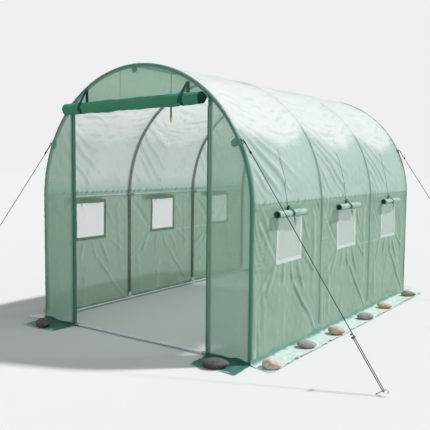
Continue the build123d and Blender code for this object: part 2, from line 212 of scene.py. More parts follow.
def mixShader(tree, factor, first, second):
    shaders = {1: first.outputs[0], 2: second.outputs[0]}
    return addNode(tree, "ShaderNodeMixShader", {0: factor} | shaders)


def noiseNode(tree, coordinate, scale, detail=3.0, roughness=0.5):
    settings = {"Vector": coordinate, "Scale": scale, "Detail": detail, "Roughness": roughness}
    return addNode(tree, "ShaderNodeTexNoise", settings).outputs["Fac"]


def toneNode(tree, name):
    return addNode(tree, "ShaderNodeAttribute", {"attribute_name": name}).outputs["Fac"]


def placeNode(tree):
    return addNode(tree, "ShaderNodeTexCoord").outputs["Object"]


def bumpNode(tree, height, strength, distance):
    settings = {"Height": height, "Strength": strength, "Distance": distance}
    return addNode(tree, "ShaderNodeBump", settings).outputs["Normal"]


def finishTree(tree, shader):
    addNode(tree, "ShaderNodeOutputMaterial", {0: shader.outputs[0]})


def threadLines(tree, coordinate, pitch, share):
    # the thicker threads that cross the woven film, from its flat size in metres
    parts = addNode(tree, "ShaderNodeSeparateXYZ", {0: coordinate})
    masks = []
    for axis in (0, 1):
        step = mathNode(tree, "FRACT", mathNode(tree, "MULTIPLY", parts.outputs[axis], 1 / pitch))
        away = mathNode(tree, "ABSOLUTE", mathNode(tree, "SUBTRACT", step, 0.5))
        masks.append(mathNode(tree, "GREATER_THAN", away, 0.5 - share / 2))
    return mathNode(tree, "MAXIMUM", *masks)


def clothMaterial(name, look):
    # woven film that lets light through, with cloudy tones; the hung piece's tones darken it with painted
    # shade and its own hem lines, and pale it with painted glare and highlights and its own white stitches
    tree = newTree(name)
    uv = addNode(tree, "ShaderNodeUVMap").outputs[0]
    threads = threadLines(tree, uv, look["pitch"], look["threadShare"])
    cloudy = noiseNode(tree, placeNode(tree), look["patchScale"])
    fine = noiseNode(tree, uv, look["fineScale"], 2)
    start = look["tone"] - (look["patchAmount"] + look["fineAmount"]) / 2
    tone = mathNode(tree, "MULTIPLY_ADD", cloudy, look["patchAmount"], start)
    tone = mathNode(tree, "MULTIPLY_ADD", threads, look["threadTone"], tone)
    tone = mathNode(tree, "MULTIPLY_ADD", fine, look["fineAmount"], tone)
    colour = mixColour(tree, tone, look["pale"], look["deep"])
    # painted glare and highlights (with the cloth's own white stitches, and paler skirt edges) turn the
    # colour paler
    if "bleached" in look:
        colour = mixColour(tree, toneNode(tree, "bleach"), colour, look["bleached"])
    # painted shade (and the skirts' own hem lines) turns the colour darker and the film less clear
    pipe = toneNode(tree, "pipeShade")
    colour = mixColour(tree, pipe, colour, look["shadeAndHemColour"])
    crumple = noiseNode(tree, uv, look["crumple"], 5, 0.6)
    height = mathNode(tree, "MULTIPLY_ADD", threads, look["threadHeight"], crumple)
    front = addNode(tree, "ShaderNodeBsdfPrincipled", {
        "Base Color": colour, "Normal": bumpNode(tree, height, look["bump"], look["bumpDepth"]),
        "Roughness": look["roughness"], "Specular IOR Level": look["shine"], "Sheen Weight": look["sheen"],
    })
    glow = addNode(tree, "ShaderNodeBsdfTranslucent", {"Color": colour})
    clear = mathNode(tree, "MULTIPLY_ADD", threads, -look["threadDense"] * look["clear"], look["clear"])
    clear = mathNode(tree, "MULTIPLY", clear, mathNode(tree, "MULTIPLY_ADD", pipe, -look["pipeDense"], 1.0))
    air = addNode(tree, "ShaderNodeBsdfTransparent", {"Color": (*look["seen"], 1)})
    finishTree(tree, mixShader(tree, clear, mixShader(tree, look["glow"], front, glow), air))


def solidMaterial(name, look):
    # a plain surface whose colour wanders between two tones, with its own bump and roughness
    look = solidLook | look
    tree = newTree(name)
    place = placeNode(tree)
    cloudy = noiseNode(tree, place, look["patchScale"], 4, 0.6)
    fine = noiseNode(tree, place, look["grain"], 4, 0.6)
    spread = mathNode(tree, "MULTIPLY_ADD", cloudy, look["contrast"], 0.5 - look["contrast"] / 2)
    low, high = look["roughness"]
    finishTree(tree, addNode(tree, "ShaderNodeBsdfPrincipled", {
        "Base Color": mixColour(tree, spread, look["dark"], look["light"]),
        "Roughness": mathNode(tree, "MULTIPLY_ADD", fine, high - low, low),
        "Normal": bumpNode(tree, fine, look["bump"], look["depth"]),
        "Metallic": look["metal"], "Specular IOR Level": look["shine"],
    }))


def wovenMaterial(name, look):
    # tape, strap and rope: a small diagonal weave over a plain colour
    tree = newTree(name)
    place = placeNode(tree)
    ribs = []
    for turn in (look["turn"], -look["turn"]):
        spin = addNode(tree, "ShaderNodeMapping", {"Vector": place, "Rotation": (turn, turn, turn)})
        wave = {"Vector": spin.outputs[0], "Scale": look["ribs"], "Distortion": 1.0, "Detail": 1.0}
        ribs.append(addNode(tree, "ShaderNodeTexWave", wave).outputs["Fac"])
    weave = mathNode(tree, "MULTIPLY", *ribs)
    patches = mathNode(tree, "MULTIPLY", noiseNode(tree, place, 14), 0.5)
    tone = mathNode(tree, "MULTIPLY_ADD", weave, 0.6, patches)
    finishTree(tree, addNode(tree, "ShaderNodeBsdfPrincipled", {
        "Base Color": mixColour(tree, tone, look["dark"], look["light"]),
        "Normal": bumpNode(tree, weave, 0.5, 0.0008),
        "Roughness": look["roughness"], "Specular IOR Level": look["shine"],
    }))


clothLook = {
    "pitch": 0.0125, "threadShare": 0.16, "threadTone": 0.26, "threadHeight": 0.25, "threadDense": 0.6,
    "patchScale": 2.0, "patchAmount": 0.5, "fineScale": 260, "fineAmount": 0.16, "tone": 0.35,
    "crumple": 13.0, "bump": 0.22, "bumpDepth": 0.004, "roughness": 0.36, "shine": 0.5, "sheen": 0.15,
    "glow": 0.34, "clear": 0.16, "pipeDense": 0.9, "seen": (0.85, 0.95, 0.90),
    "pale": (0.41, 0.55, 0.44), "deep": (0.23, 0.38, 0.28), "shadeAndHemColour": (0.05, 0.19, 0.14),
}
# in each look the darker tone colour is that of painted shade (and of the skirts' own hem lines), and the
# paler one that of painted light (glare, highlights, light through the sleeve), and also of the walls' own
# white stitches and the flaps' paler outer edges
filmLooks = {
    "roofFilm": {
        "pale": (0.64, 0.78, 0.71), "deep": (0.44, 0.61, 0.52), "bleached": (0.975, 0.98, 0.965),
        "shadeAndHemColour": (0.16, 0.36, 0.27), "clear": 0.08, "glow": 0.44, "threadTone": 0.12,
    },
    "wallFilm": {"bleached": (0.80, 0.90, 0.84), "shadeAndHemColour": (0.09, 0.27, 0.22), "threadTone": 0.12},
    "frontFilm": {
        "pale": (0.42, 0.64, 0.51), "deep": (0.22, 0.46, 0.33), "clear": 0.40, "seen": (0.74, 0.88, 0.79),
        "threadTone": 0.5,
    },
    "sideFrontFilm": {
        "pale": (0.56, 0.73, 0.61), "deep": (0.32, 0.52, 0.41), "clear": 0.48, "seen": (0.80, 0.91, 0.84),
        "threadTone": 0.5,
    },
    "skirtFilm": {
        "pale": (0.88, 0.94, 0.90), "deep": (0.62, 0.84, 0.74), "shadeAndHemColour": (0.07, 0.28, 0.20), "clear": 0.05,
        "glow": 0.12, "patchScale": 13.0, "patchAmount": 1.6, "crumple": 34.0, "bump": 0.8,
    },
    "flapFilm": {
        "pale": (0.13, 0.34, 0.29), "deep": (0.05, 0.18, 0.15), "shadeAndHemColour": (0.05, 0.22, 0.17),
        "bleached": (0.56, 0.80, 0.72), "clear": 0.05, "shine": 0.25, "sheen": 0.0, "crumple": 30.0,
        "bump": 0.6,
    },
    "hemFilm": {
        "pale": (0.11, 0.34, 0.25), "deep": (0.045, 0.19, 0.13), "bleached": (0.34, 0.56, 0.44),
        "clear": 0.0, "glow": 0.12, "bump": 0.6,
    },
    "doorRollFilm": {
        "pale": (0.110, 0.50, 0.270), "deep": (0.035, 0.27, 0.130), "bleached": (0.050, 0.46, 0.39),
        "shadeAndHemColour": (0.016, 0.070, 0.050), "clear": 0.0, "glow": 0.1, "roughness": 0.34, "shine": 0.14,
        "sheen": 0.0, "bump": 0.5,
    },
    "windowRollFilm": {
        "pale": (0.52, 0.73, 0.61), "deep": (0.26, 0.50, 0.37), "bleached": (0.97, 1.0, 0.98),
        "shadeAndHemColour": (0.07, 0.30, 0.20), "clear": 0.0, "glow": 0.12, "roughness": 0.22, "shine": 0.6,
        "bump": 0.9, "crumple": 30.0,
    },
    "netFilm": {
        "pale": (0.86, 0.88, 0.87), "deep": (0.75, 0.78, 0.76), "clear": 0.74, "seen": (1, 1, 1),
        "pitch": 0.004, "threadShare": 0.34,
    },
    "strapPatch": {
        "pale": (0.19, 0.45, 0.31), "deep": (0.10, 0.32, 0.21), "clear": 0.05, "glow": 0.3, "bump": 0.6,
        "crumple": 40.0,
    },
}
wovenLooks = {
    "whiteTape": {
        "dark": (0.50, 0.60, 0.54), "light": (0.86, 0.90, 0.87), "ribs": 90, "turn": 0.78, "shine": 0.4,
    },
    "greenStrap": {
        "dark": (0.003, 0.055, 0.044), "light": (0.014, 0.14, 0.11), "ribs": 120, "turn": 0.78, "shine": 0.15,
    },
    "seamCord": {"dark": (0.02, 0.12, 0.09), "light": (0.07, 0.25, 0.19), "roughness": 0.7, "shine": 0.2},
    "blackRope": {
        "dark": (0.005, 0.005, 0.006), "light": (0.028, 0.028, 0.030), "ribs": 160, "roughness": 0.75,
        "shine": 0.15,
    },
}
solidLook = {
    "dark": (0.19, 0.21, 0.18), "light": (0.42, 0.44, 0.39), "contrast": 1.6, "patchScale": 60, "grain": 220,
    "roughness": (0.28, 0.5), "bump": 0.08, "depth": 0.001, "metal": 0.5, "shine": 0.5,
}
solidLooks = {
    # painted light and shade: one galvanised steel in two copies, a darker shaded one for the hoops, posts
    # and ridge tube, and a paler lit one for the rails, fittings, rings and pegs
    "shadedSteel": {},
    "litSteel": {"dark": (0.58, 0.62, 0.67), "light": (0.86, 0.90, 0.95), "metal": 0.15},
    "blackPlastic": {
        "dark": (0.010, 0.010, 0.011), "light": (0.035, 0.035, 0.037), "contrast": 1.0, "patchScale": 30,
        "grain": 500, "roughness": (0.3, 0.5), "bump": 0.1, "metal": 0.0,
    },
    "turnedBrass": {
        "dark": (0.55, 0.27, 0.06), "light": (0.90, 0.55, 0.16), "contrast": 1.2, "patchScale": 80,
        "grain": 400, "roughness": (0.2, 0.35), "bump": 0.05, "metal": 0.8,
    },
}
stoneTones = {
    "tan": ((0.38, 0.28, 0.20), (0.66, 0.53, 0.42)), "grey": ((0.25, 0.235, 0.23), (0.46, 0.44, 0.43)),
    "pale": ((0.48, 0.40, 0.32), (0.76, 0.67, 0.57)), "brown": ((0.22, 0.17, 0.14), (0.40, 0.33, 0.28)),
    # painted shade: the front stones, in the tunnel's shadow, get this darker tone
    "dark": ((0.060, 0.058, 0.058), (0.155, 0.145, 0.140)),
}
for tone, (dark, light) in stoneTones.items():
    solidLooks[f"{tone}Stone"] = {
        "dark": dark, "light": light, "contrast": 2.2, "patchScale": 34, "grain": 160,
        "roughness": (0.65, 0.9), "bump": 0.6, "depth": 0.003, "metal": 0.0, "shine": 0.25,
    }
for name, look in filmLooks.items():
    clothMaterial(name, clothLook | look)
for name, look in wovenLooks.items():
    wovenMaterial(name, {"ribs": 140, "turn": 0.6, "roughness": 0.6} | look)
for name, look in solidLooks.items():
    solidMaterial(name, look)
print("materials made")


# the shape of the cover: the distance along it starts at the ground on the right and goes over the ridge

def rise(value, start, width, top=1.0):
    # nothing up to start, then up to top over the width
    return top * np.clip((value - start) / width, 0, 1)


def bell(value, middle, width, top=1.0):
    # top at the middle, fading out to both sides
    return top * np.exp(-((value - middle) / width) ** 2)


def ripples(across, up, seed, high, length, stretch=1.0, count=9):
    # smooth wandering waves; stretch lengthens them upwards
    chance = np.random.default_rng(seed)
    total = np.zeros(np.broadcast(across, up).shape)
    for _ in range(count):
        turn = chance.uniform(0, 2 * math.pi)
        wave = 2 * math.pi / (length * chance.uniform(0.65, 1.5))
        shift = chance.uniform(0, 2 * math.pi)
        total += np.sin(wave * (across * math.cos(turn) + up * math.sin(turn) / stretch) + shift)
    return high * (total / math.sqrt(count))


foldLook = {"hollow": (1.5, 0.7), "hollowAt": 1.8, "ends": (0.04, 0.96), "roundness": 0.6}


def foldShape(beside, width, hollowAt):
    # across a fold: its ridge with a hollow beside it
    wider, depth = foldLook["hollow"]
    return bell(beside, 0, width) - bell(beside, -hollowAt * width, wider * width, depth)


def crease(across, up, start, end, width, lift):
    # one fold from start to end, lower towards both
    run = np.subtract(end, start)
    length = math.hypot(*run)
    share = ((across - start[0]) * run[0] + (up - start[1]) * run[1]) / length ** 2
    beside = ((up - start[1]) * run[0] - (across - start[0]) * run[1]) / length
    inside = np.clip(share, 0, 1)
    taper = np.sin(math.pi * np.clip(inside, *foldLook["ends"])) ** foldLook["roundness"]
    taper = taper * bell((share - inside) * length, 0, width)
    return lift * taper * foldShape(beside, width, foldLook["hollowAt"])


drapeLook = {
    "leftShift": 3.7,  # the left side has the waves of cloth this much further on
    "belly": 0.8,
    # distance from the ridge, depth
    "sag": ((0, 0.003), (0.15, 0.004), (0.7, 0.014), (1.2, 0.011), (skinLength / 2, 0.004)),
    # folds that fan out behind each hoop: start and end as (distance behind the hoop, height), width, lift
    "fan": [
        ((0.01, 1.58), (0.54, 1.05), 0.015, 0.0125), ((0.01, 1.46), (0.41, 1.03), 0.013, 0.0105),
        ((0.01, 1.35), (0.29, 1.03), 0.012, 0.0090), ((0.02, 1.66), (0.60, 1.22), 0.016, 0.0080),
        ((0.02, 1.71), (0.46, 1.46), 0.015, 0.0070), ((0.01, 1.22), (0.17, 1.03), 0.010, 0.0060),
    ],
    "fanFades": 0.12, "nudge": 0.025,
    # hanging lines between two hoops: height at the hoops along the skin, dip, width, lift
    "swags": [
        (1.90, 0.12, 0.011, 0.0056), (1.84, 0.13, 0.010, 0.0056), (1.79, 0.12, 0.009, 0.0058),
        (1.745, 0.12, 0.010, 0.0060), (1.70, 0.10, 0.009, 0.0056), (1.655, 0.08, 0.009, 0.0050),
        (1.61, 0.06, 0.010, 0.0044), (1.97, 0.13, 0.013, 0.0046), (2.06, 0.12, 0.015, 0.0040),
        (2.17, 0.10, 0.017, 0.0034), (2.30, 0.08, 0.019, 0.0026), (1.56, 0.04, 0.010, 0.0030),
    ],
    "swagWander": (0.016, 0.40), "swagStrength": (0.75, 0.30), "swagUsual": 0.35, "swagRange": (-0.2, 1.6),
    # folds round a window: start and end as (distance from its middle, height), width, lift
    "window": [
        ((-0.185, 0.615), (-0.30, 0.40), 0.013, 0.0085), ((-0.07, 0.612), (-0.10, 0.44), 0.012, 0.0080),
        ((0.03, 0.612), (0.07, 0.42), 0.012, 0.0075), ((0.13, 0.612), (0.24, 0.38), 0.013, 0.0085),
        ((0.20, 0.66), (0.42, 0.48), 0.012, 0.0060), ((-0.19, 0.64), (-0.47, 0.96), 0.014, 0.0070),
        ((-0.20, 0.60), (-0.46, 0.38), 0.012, 0.0050), ((0.20, 0.94), (0.31, 0.72), 0.012, 0.0060),
        ((0.02, 0.54), (0.45, 0.02), 0.011, 0.0085), ((0.36, 0.98), (0.39, 0.30), 0.020, 0.0050),
        ((-0.34, 0.55), (-0.32, 0.05), 0.024, 0.0045), ((-0.05, 0.34), (-0.08, 0.04), 0.022, 0.0035),
    ],
    # folds at the foot beside each hoop, as in the fan, half as high behind the later hoops
    "foot": [((0.040, 0.36), (0.050, 0.03), 0.012, 0.0080), ((0.085, 0.28), (0.100, 0.02), 0.012, 0.0060)],
    "footLater": 0.5, "fanSpread": 1.5, "windowWobble": 0.6, "swagRoundness": 0.9, "swagHollow": 1.9,
    "gatherLean": (-1.6, 0.5),  # in the first bay, in the others
    # painted shade: the band over each hoop (half width, softness) and the dashes in the puckers under the
    # seam (strength and usual share, how far down and how much they slant, width and strength)
    "hoopHalf": 0.0150, "hoopSoft": 0.0022, "stitch": (1.8, 0.2), "seamDashDown": (0.003, 0.010),
    "seamDashShade": (0.0085, 0.95),
    # puckers under the seam: how far they reach down and up, and how they fade away from a hoop
    "gatherPitch": 0.062, "gatherDepth": 0.0095, "gatherDown": 0.085, "gatherUp": 0.022,
    "gatherFront": (0, 0.32, 1.3), "gatherFar": 0.22, "gatherHoop": (0, 0.20, 0.78),
    "gatherSlant": 0.30, "gatherWander": (21, 2.2, 0.30),
    # waves, as in ripples: seed, height, length, stretch, count
    "wobble": (5, 0.012, 0.35), "low": (31, 0.0026, 0.26, 4.0), "broad": (41, 0.0045, 0.38, 1.3),
    "crimp": (47, 1.5, 0.10), "crumple": (51, 0.0008, 0.075, 1.0, 12),
    "lowFrom": (-0.70, 0.3), "crimpPlace": (0.09, 0.09, 0.0016), "crimpTop": (-0.95, 0.2),
    "crimpFoot": (0.45, 0.2), "crimpPitch": 0.026,
}
clearance = {
    "hoop": 0.0020, "hoopSlope": 0.8, "touch": 0.0008, "rail": 0.0026, "nearHoop": 0.06, "railHalf": 0.016,
    # each tube along the tunnel: its height along the skin, and how fast the room grows away from it
    "tubes": ((0.0095, 0.30), (wallHeight, 0.09), (skinLength / 2, 0.06)),
    "sockets": (0.013, wallHeight, skinLength / 2), "socketReach": 0.062, "deepest": 0.030,
    "proud": 0.008, "proudFrom": 0.018, "proudWidth": 0.06, "proudLeast": 0.06,
}


def bayOf(place):
    # the number of the bay, and the share of it that lies in front of the place
    through = (place + endLine) / bay
    return np.clip(np.floor(through), 0, 2), np.clip(through - np.floor(through), 0, 1)


def belly(place):
    return np.sin(math.pi * bayOf(place)[1]) ** drapeLook["belly"]


def fromHoop(place):
    return np.min([abs(place - p) for p in hoopPlaces], axis=0)


def gatherPhase(place, height, left):
    # how far along its wave each pucker is; the sewing thread draws them into the cloth along the seam
    look = drapeLook
    shifted = place + look["leftShift"] * left
    lean = np.where(bayOf(place)[0] == 0, *look["gatherLean"])
    slant = shifted + look["gatherSlant"] * np.clip(seamHeight - height, 0, None) * lean
    return 2 * math.pi * slant / look["gatherPitch"] + ripples(shifted, 0.3 * height, *look["gatherWander"])


def gathers(place, height, left, number, behind):
    look = drapeLook
    fromHoops = look["gatherFar"] + bell(np.minimum(behind, bay - behind), *look["gatherHoop"])
    down = look["gatherDown"] * np.where(number == 0, 1 + bell(behind, *look["gatherFront"]), 1)
    below = np.exp(-np.clip(seamHeight - height, 0, None) / down)
    above = np.exp(-np.clip(height - seamHeight, 0, None) / look["gatherUp"])
    return look["gatherDepth"] * np.sin(gatherPhase(place, height, left)) * below * above * fromHoops


def clearOfTubes(drop, place, height):
    # the cloth can't pass through the tubes behind it, and is sewn flat at the ends
    look = clearance
    away = fromHoop(place)
    room = look["hoop"] + look["hoopSlope"] * np.clip(away - tubeHalf, 0, None)
    touch = np.where(away < look["nearHoop"], look["touch"], look["rail"])
    for tube, slope in look["tubes"]:
        room = np.minimum(room, touch + slope * np.clip(abs(height - tube) - look["railHalf"], 0, None))
    fromSocket = np.min([abs(height - socket) for socket in look["sockets"]], axis=0)
    atSocket = (away < look["nearHoop"]) & (fromSocket < look["socketReach"])
    room = np.where(atSocket, np.minimum(room, look["touch"]), room)
    proud = np.clip((away - look["proudFrom"]) / look["proudWidth"], look["proudLeast"], 1) * look["proud"]
    return np.minimum(np.clip(drop, -proud, look["deepest"]), room)


def skinDrop(along, place):
    # how far the cover hangs inside its round shape
    look = drapeLook
    left = along > skinLength / 2
    height = np.where(left, skinLength - along, along)
    number, share = bayOf(place)
    behind = share * bay
    shifted = place + look["leftShift"] * left
    wobble = ripples(shifted, height, *look["wobble"])
    drop = np.interp(skinLength / 2 - height, *zip(*look["sag"])) * belly(place)
    for start, end, width, lift in look["fan"]:
        for k in range(3):
            nudge = np.random.default_rng(int(start[1] * 100) + 7 * k).uniform(-look["nudge"], look["nudge"])
            high, low = (start[0], start[1] + nudge), (end[0] + look["fanSpread"] * nudge, end[1])
            fold = crease(behind + wobble, height, high, low, width, lift * (1 - look["fanFades"] * k))
            drop = drop - np.where(number == k, fold, 0)
    for top, dip, width, lift in look["swags"]:
        line = top - dip * np.sin(math.pi * share) ** look["swagRoundness"]
        line = line + ripples(shifted, number, int(top * 50), *look["swagWander"])
        strength = look["swagUsual"] + ripples(shifted, 3 * number, int(top * 70), *look["swagStrength"])
        strength = np.clip(strength, *look["swagRange"])
        drop = drop - lift * strength * foldShape(height - line, width, look["swagHollow"])
    drop = drop + gathers(place, height, left, number, behind)
    for middle in bayMiddles:
        for start, end, width, lift in look["window"]:
            across = place - middle + wobble * look["windowWobble"]
            drop = drop - crease(across, height, start, end, width, lift)
    for start, end, width, lift in look["foot"]:
        fold = crease(behind, height, start, end, width, lift)
        drop = drop - fold * np.where(number == 0, 1.0, look["footLater"])
    drop = drop + rise(-height, *look["lowFrom"]) * ripples(shifted, height, *look["low"])
    drop = drop + ripples(shifted, height, *look["broad"]) + ripples(shifted, height, *look["crumple"])
    crimps = bell(behind, *look["crimpPlace"])
    crimps = crimps * rise(-height, *look["crimpTop"]) * rise(height, *look["crimpFoot"])
    phase = 2 * math.pi * height / look["crimpPitch"] + ripples(shifted, height, *look["crimp"])
    return clearOfTubes(drop + crimps * np.sin(phase), place, height)


def skinPoint(along, place, out=0.0):
    # a point of the hung cover, with out as its distance outside the cloth
    along, place = np.broadcast_arrays(np.asarray(along, float), np.asarray(place, float))
    turn = np.clip((along - wallHeight) / skinHalf, 0, math.pi)
    below = np.clip(wallHeight - along, 0, None) + np.clip(along - wallHeight - bowLength, 0, None)
    reach = skinHalf - skinDrop(along, place) + out
    return gridOf(reach * np.cos(turn), place, wallHeight + reach * np.sin(turn) - below)


def steps(breaks, pitch):
    # even steps that also meet every break
    runs = []
    for a, b in zip(breaks, breaks[1:]):
        count = max(2, int(round((b - a) / pitch)) + 1)
        runs.append(np.linspace(a, b, count)[:-1])
    return np.concatenate([*runs, [breaks[-1]]])


def upSide(side, heights):
    # distances along the cover for heights on the right or on the left
    return heights if side > 0 else skinLength - heights


def onPipe(place, strength):
    # painted shade: how strongly a hoop behind the cloth darkens it
    return strength / (1 + np.exp((fromHoop(place) - drapeLook["hoopHalf"]) / drapeLook["hoopSoft"]))


def averaged(grid, axis, reach, share):
    return (np.roll(grid, reach, axis) + np.roll(grid, -reach, axis) + share * grid) / (2 + share)


def foldRelief(along, place):
    # how far each point stands out from the cloth round it, in metres
    drop = skinDrop(along, place)
    wide = drop
    for axis in (0, 1):
        for reach in (1, 2, 4):
            wide = averaged(wide, axis, reach, 1)
    return averaged(averaged(wide - drop, 0, 1, 2), 1, 1, 2)


def seamShade(place, height, left):
    # painted shade: dark slanting dashes in the puckers where they fold under the seam
    phase = gatherPhase(place, seamHeight, left)
    strength, usual = drapeLook["stitch"]
    down, wander = drapeLook["seamDashDown"]
    dash = np.clip(strength * np.sin(phase) + usual, 0, 1)
    return dash * bell(height, seamHeight - down - wander * np.cos(phase), *drapeLook["seamDashShade"])


print("cover shape ready")

# the roof, from seam to seam over the ridge; its upper part is painted pale as sunlit glare
roofLook = {
    "step": 0.010, "pale": (1.555, 0.120), "paleBow": 0.150, "frontDip": 0.07, "frontReach": 0.12,
    "edge": ((55, 0.016, 0.3), (56, 0.010, 0.07, 0.3)), "crown": (2.12, 0.34, 0.62),
    "leftPale": (1.06, 0.10, 0.6),
    "reliefFrom": (1.09, 0.04), "hollow": (0.0005, 0.0030, 0.30), "ridge": (2.28, 0.26, 0.30),
    "lit": (0.0006, 0.0030, 0.55), "dull": (0.0004, 0.0022, 0.38), "pipe": 0.95, "pipePaled": 0.75,
}
look = roofLook
alongs = steps([seamHeight, skinLength - seamHeight], look["step"])
alongGrid, placeGrid = crossed(alongs, steps(hoopPlaces, look["step"]))
onLeft = alongGrid > skinLength / 2
height = np.minimum(alongGrid, skinLength - alongGrid)
# painted glare: pale above a line that bows lower between the hoops and dips at the front, fading out towards
# the crown
paleEdge = height + look["paleBow"] * belly(placeGrid)
paleEdge = paleEdge + look["frontDip"] * np.exp(-(placeGrid + endLine) / look["frontReach"])
for wave in look["edge"]:
    paleEdge = paleEdge + ripples(placeGrid, height, *wave)
paintedGlare = rise(paleEdge, *look["pale"])
paintedGlare = paintedGlare ** 2 * (3 - 2 * paintedGlare) * (1 - rise(height, *look["crown"]))
# painted light: the left side, seen from inside, is painted paler as backlit cloth
paintedGlare = np.maximum(paintedGlare, rise(height, *look["leftPale"]) * onLeft)
relief = foldRelief(alongGrid, placeGrid) * rise(height, *look["reliefFrom"])
# painted shade in fold hollows below the glare and near the ridge, and over the hoops, weaker under the
# glare; painted highlights on fold ridges, with painted shade dulling the glare in hollows
foldAndRidgeShade = (1 - paintedGlare) * rise(-relief, *look["hollow"]) + rise(height, *look["ridge"])
pipes = onPipe(placeGrid, look["pipe"] - look["pipePaled"] * paintedGlare)
addSheet(
    "roofCloth", skinPoint(alongGrid, placeGrid), gridOf(placeGrid, alongGrid), "roofFilm", "cover_cloth",
    dict(
        flat=(skinLength - 2 * seamHeight, 2 * endLine), held="stretched",
        rests_on=["front_hoop", "second_hoop", "third_hoop", "rear_hoop", "ridge_tube"],
    ),
    node="roof_cover", pipeShade=np.maximum.reduce([pipes, seamShade(placeGrid, height, onLeft), foldAndRidgeShade]),
    bleach=np.maximum(paintedGlare, rise(relief, *look["lit"])) - paintedGlare * rise(-relief, *look["dull"]),
)

# the side walls with their window openings
wallLook = {
    "step": 0.008, "foot": 0.001, "seamFrom": 0.030, "seamTo": 0.022, "cutShare": 0.9, "pipe": 0.92,
    "stitch": 0.034, "stitchShare": -0.2, "stitchAfter": 0.02,
    "stitchLine": (windowLow.z - 0.026, 0.0045, 0.75),
    "bunch": (0.045, 0.016, 0.55), "bunchTop": (-0.36, 0.3), "hollow": (0.0006, 0.0030, 0.36),
    "lit": {1: (0.0007, 0.0030, 0.36), -1: (0.0007, 0.0030, 0.20)},
}
look = wallLook
breaks = [-endLine]
for middle, hoop in zip(bayMiddles, hoopPlaces[1:]):
    breaks += [middle - windowHalf, middle + windowHalf, hoop - tubeHalf, hoop, hoop + tubeHalf]
places = steps(breaks[:-1], look["step"])
windowSeams = [windowLow.z - look["seamFrom"], windowLow.z - look["seamTo"], windowLow.z, windowHigh.z]
heights = steps([look["foot"], *windowSeams, seamHeight], look["step"])
height, placeGrid = crossed(heights, places)
middleHeight = (height[:-1, :-1] + height[1:, 1:]) / 2
middlePlace = (placeGrid[:-1, :-1] + placeGrid[1:, 1:]) / 2
inWindow = np.min([abs(middlePlace - middle) for middle in bayMiddles], axis=0) < windowHalf
keep = ~(inWindow & (middleHeight > windowLow.z) & (middleHeight < windowHigh.z))
stitches = np.sin(2 * math.pi * placeGrid / look["stitch"]) > look["stitchShare"]
stitches = stitches & (placeGrid > bayMiddles[1] + windowHalf + look["stitchAfter"])
stitches = stitches * bell(height, *look["stitchLine"])
bunch = bell(placeGrid + endLine, *look["bunch"]) * rise(-height, *look["bunchTop"])
openings = 3 * 4 * windowHalf ** 2 * look["cutShare"]
for side, word in bothSides:
    alongGrid = upSide(side, height)
    relief = foldRelief(alongGrid, placeGrid)
    seam = seamShade(placeGrid, height, side < 0)
    addSheet(
        f"{word}WallCloth", skinPoint(alongGrid, placeGrid), gridOf(placeGrid, alongGrid),
        "wallFilm", "cover_cloth",
        dict(
            flat=(seamHeight, 2 * endLine), held="hung", rests_on=["side_rails"],
            area=seamHeight * 2 * endLine - openings,
        ),
        node=f"{word}_wall_cover", keep=keep,
        # painted shade over the hoops, in the seam's puckers and in fold hollows; painted highlights on fold
        # ridges, stronger on the right; the white stitches along the lower seam are the cloth's own, and the
        # bunched fold by the front foot is paler
        pipeShade=np.maximum.reduce([onPipe(placeGrid, look["pipe"]), seam, rise(-relief, *look["hollow"])]),
        bleach=np.maximum.reduce([stitches, bunch, rise(relief, *look["lit"][side])]),
    )
print("roof and walls hung")

# the front and the back: flat cloth inside the hem
endLook = {
    "inset": 0.001, "folds": ((0.0022, 0.16, 4.0), (0.0012, 0.07, 1.5)), "foldRange": (-0.0022, 0.0045),
    "edge": 1 / 12, "post": 0.6575, "postHalf": 0.0140, "postSoft": 0.0016, "postTop": 1.74, "pipe": 0.40,
    "overDoor": 1.645, "pipeOverDoor": 0.80, "foldSink": 0.0002, "foot": 0.001, "samples": 200,
    # rows and columns of each panel's grid
    "sideGrid": (172, 36), "topGrid": (30, 134), "rearGrid": (200, 190),
}


def archHalf(height):
    # half the width between the hoop's legs
    above = np.clip(np.asarray(height, float) - wallHeight, 0, hoopLine)
    return np.sqrt(np.clip(hoopLine ** 2 - above ** 2, 0, None))


def shareGrid(rows, columns):
    return np.meshgrid(np.linspace(0, 1, columns), np.linspace(0, 1, rows))


def endPanel(name, node, material, x, z, outward, seed, flat, area):
    # its small folds stay clear of the posts and the hoop behind it, and it is sewn flat round its edge
    look = endLook
    across, up = shareGrid(*x.shape)
    waves = [ripples(x, z, seed + k, *wave) for k, wave in enumerate(look["folds"])]
    folds = np.clip(sum(waves), *look["foldRange"]) - look["foldSink"]
    edge = rise(np.minimum.reduce([across, 1 - across, up, 1 - up]), 0, look["edge"])
    y = outward * (halfLength - look["inset"] + folds * edge)
    # painted shade where a door post stands behind the cloth; darker above the door, where it also stands in
    # for the dark sleeve
    pipe = np.where((z > look["overDoor"]) & (outward < 0), look["pipeOverDoor"], look["pipe"])
    pipe = pipe * (z < look["postTop"])
    shade = pipe / (1 + np.exp((abs(abs(x) - look["post"]) - look["postHalf"]) / look["postSoft"]))
    hoop = "rear_hoop" if outward > 0 else "front_hoop"
    addSheet(
        name, gridOf(x, y, z), gridOf(x, z), material, "cover_cloth",
        dict(flat=flat, held="hung", rests_on=[hoop], area=area), node=node, pipeShade=shade,
    )


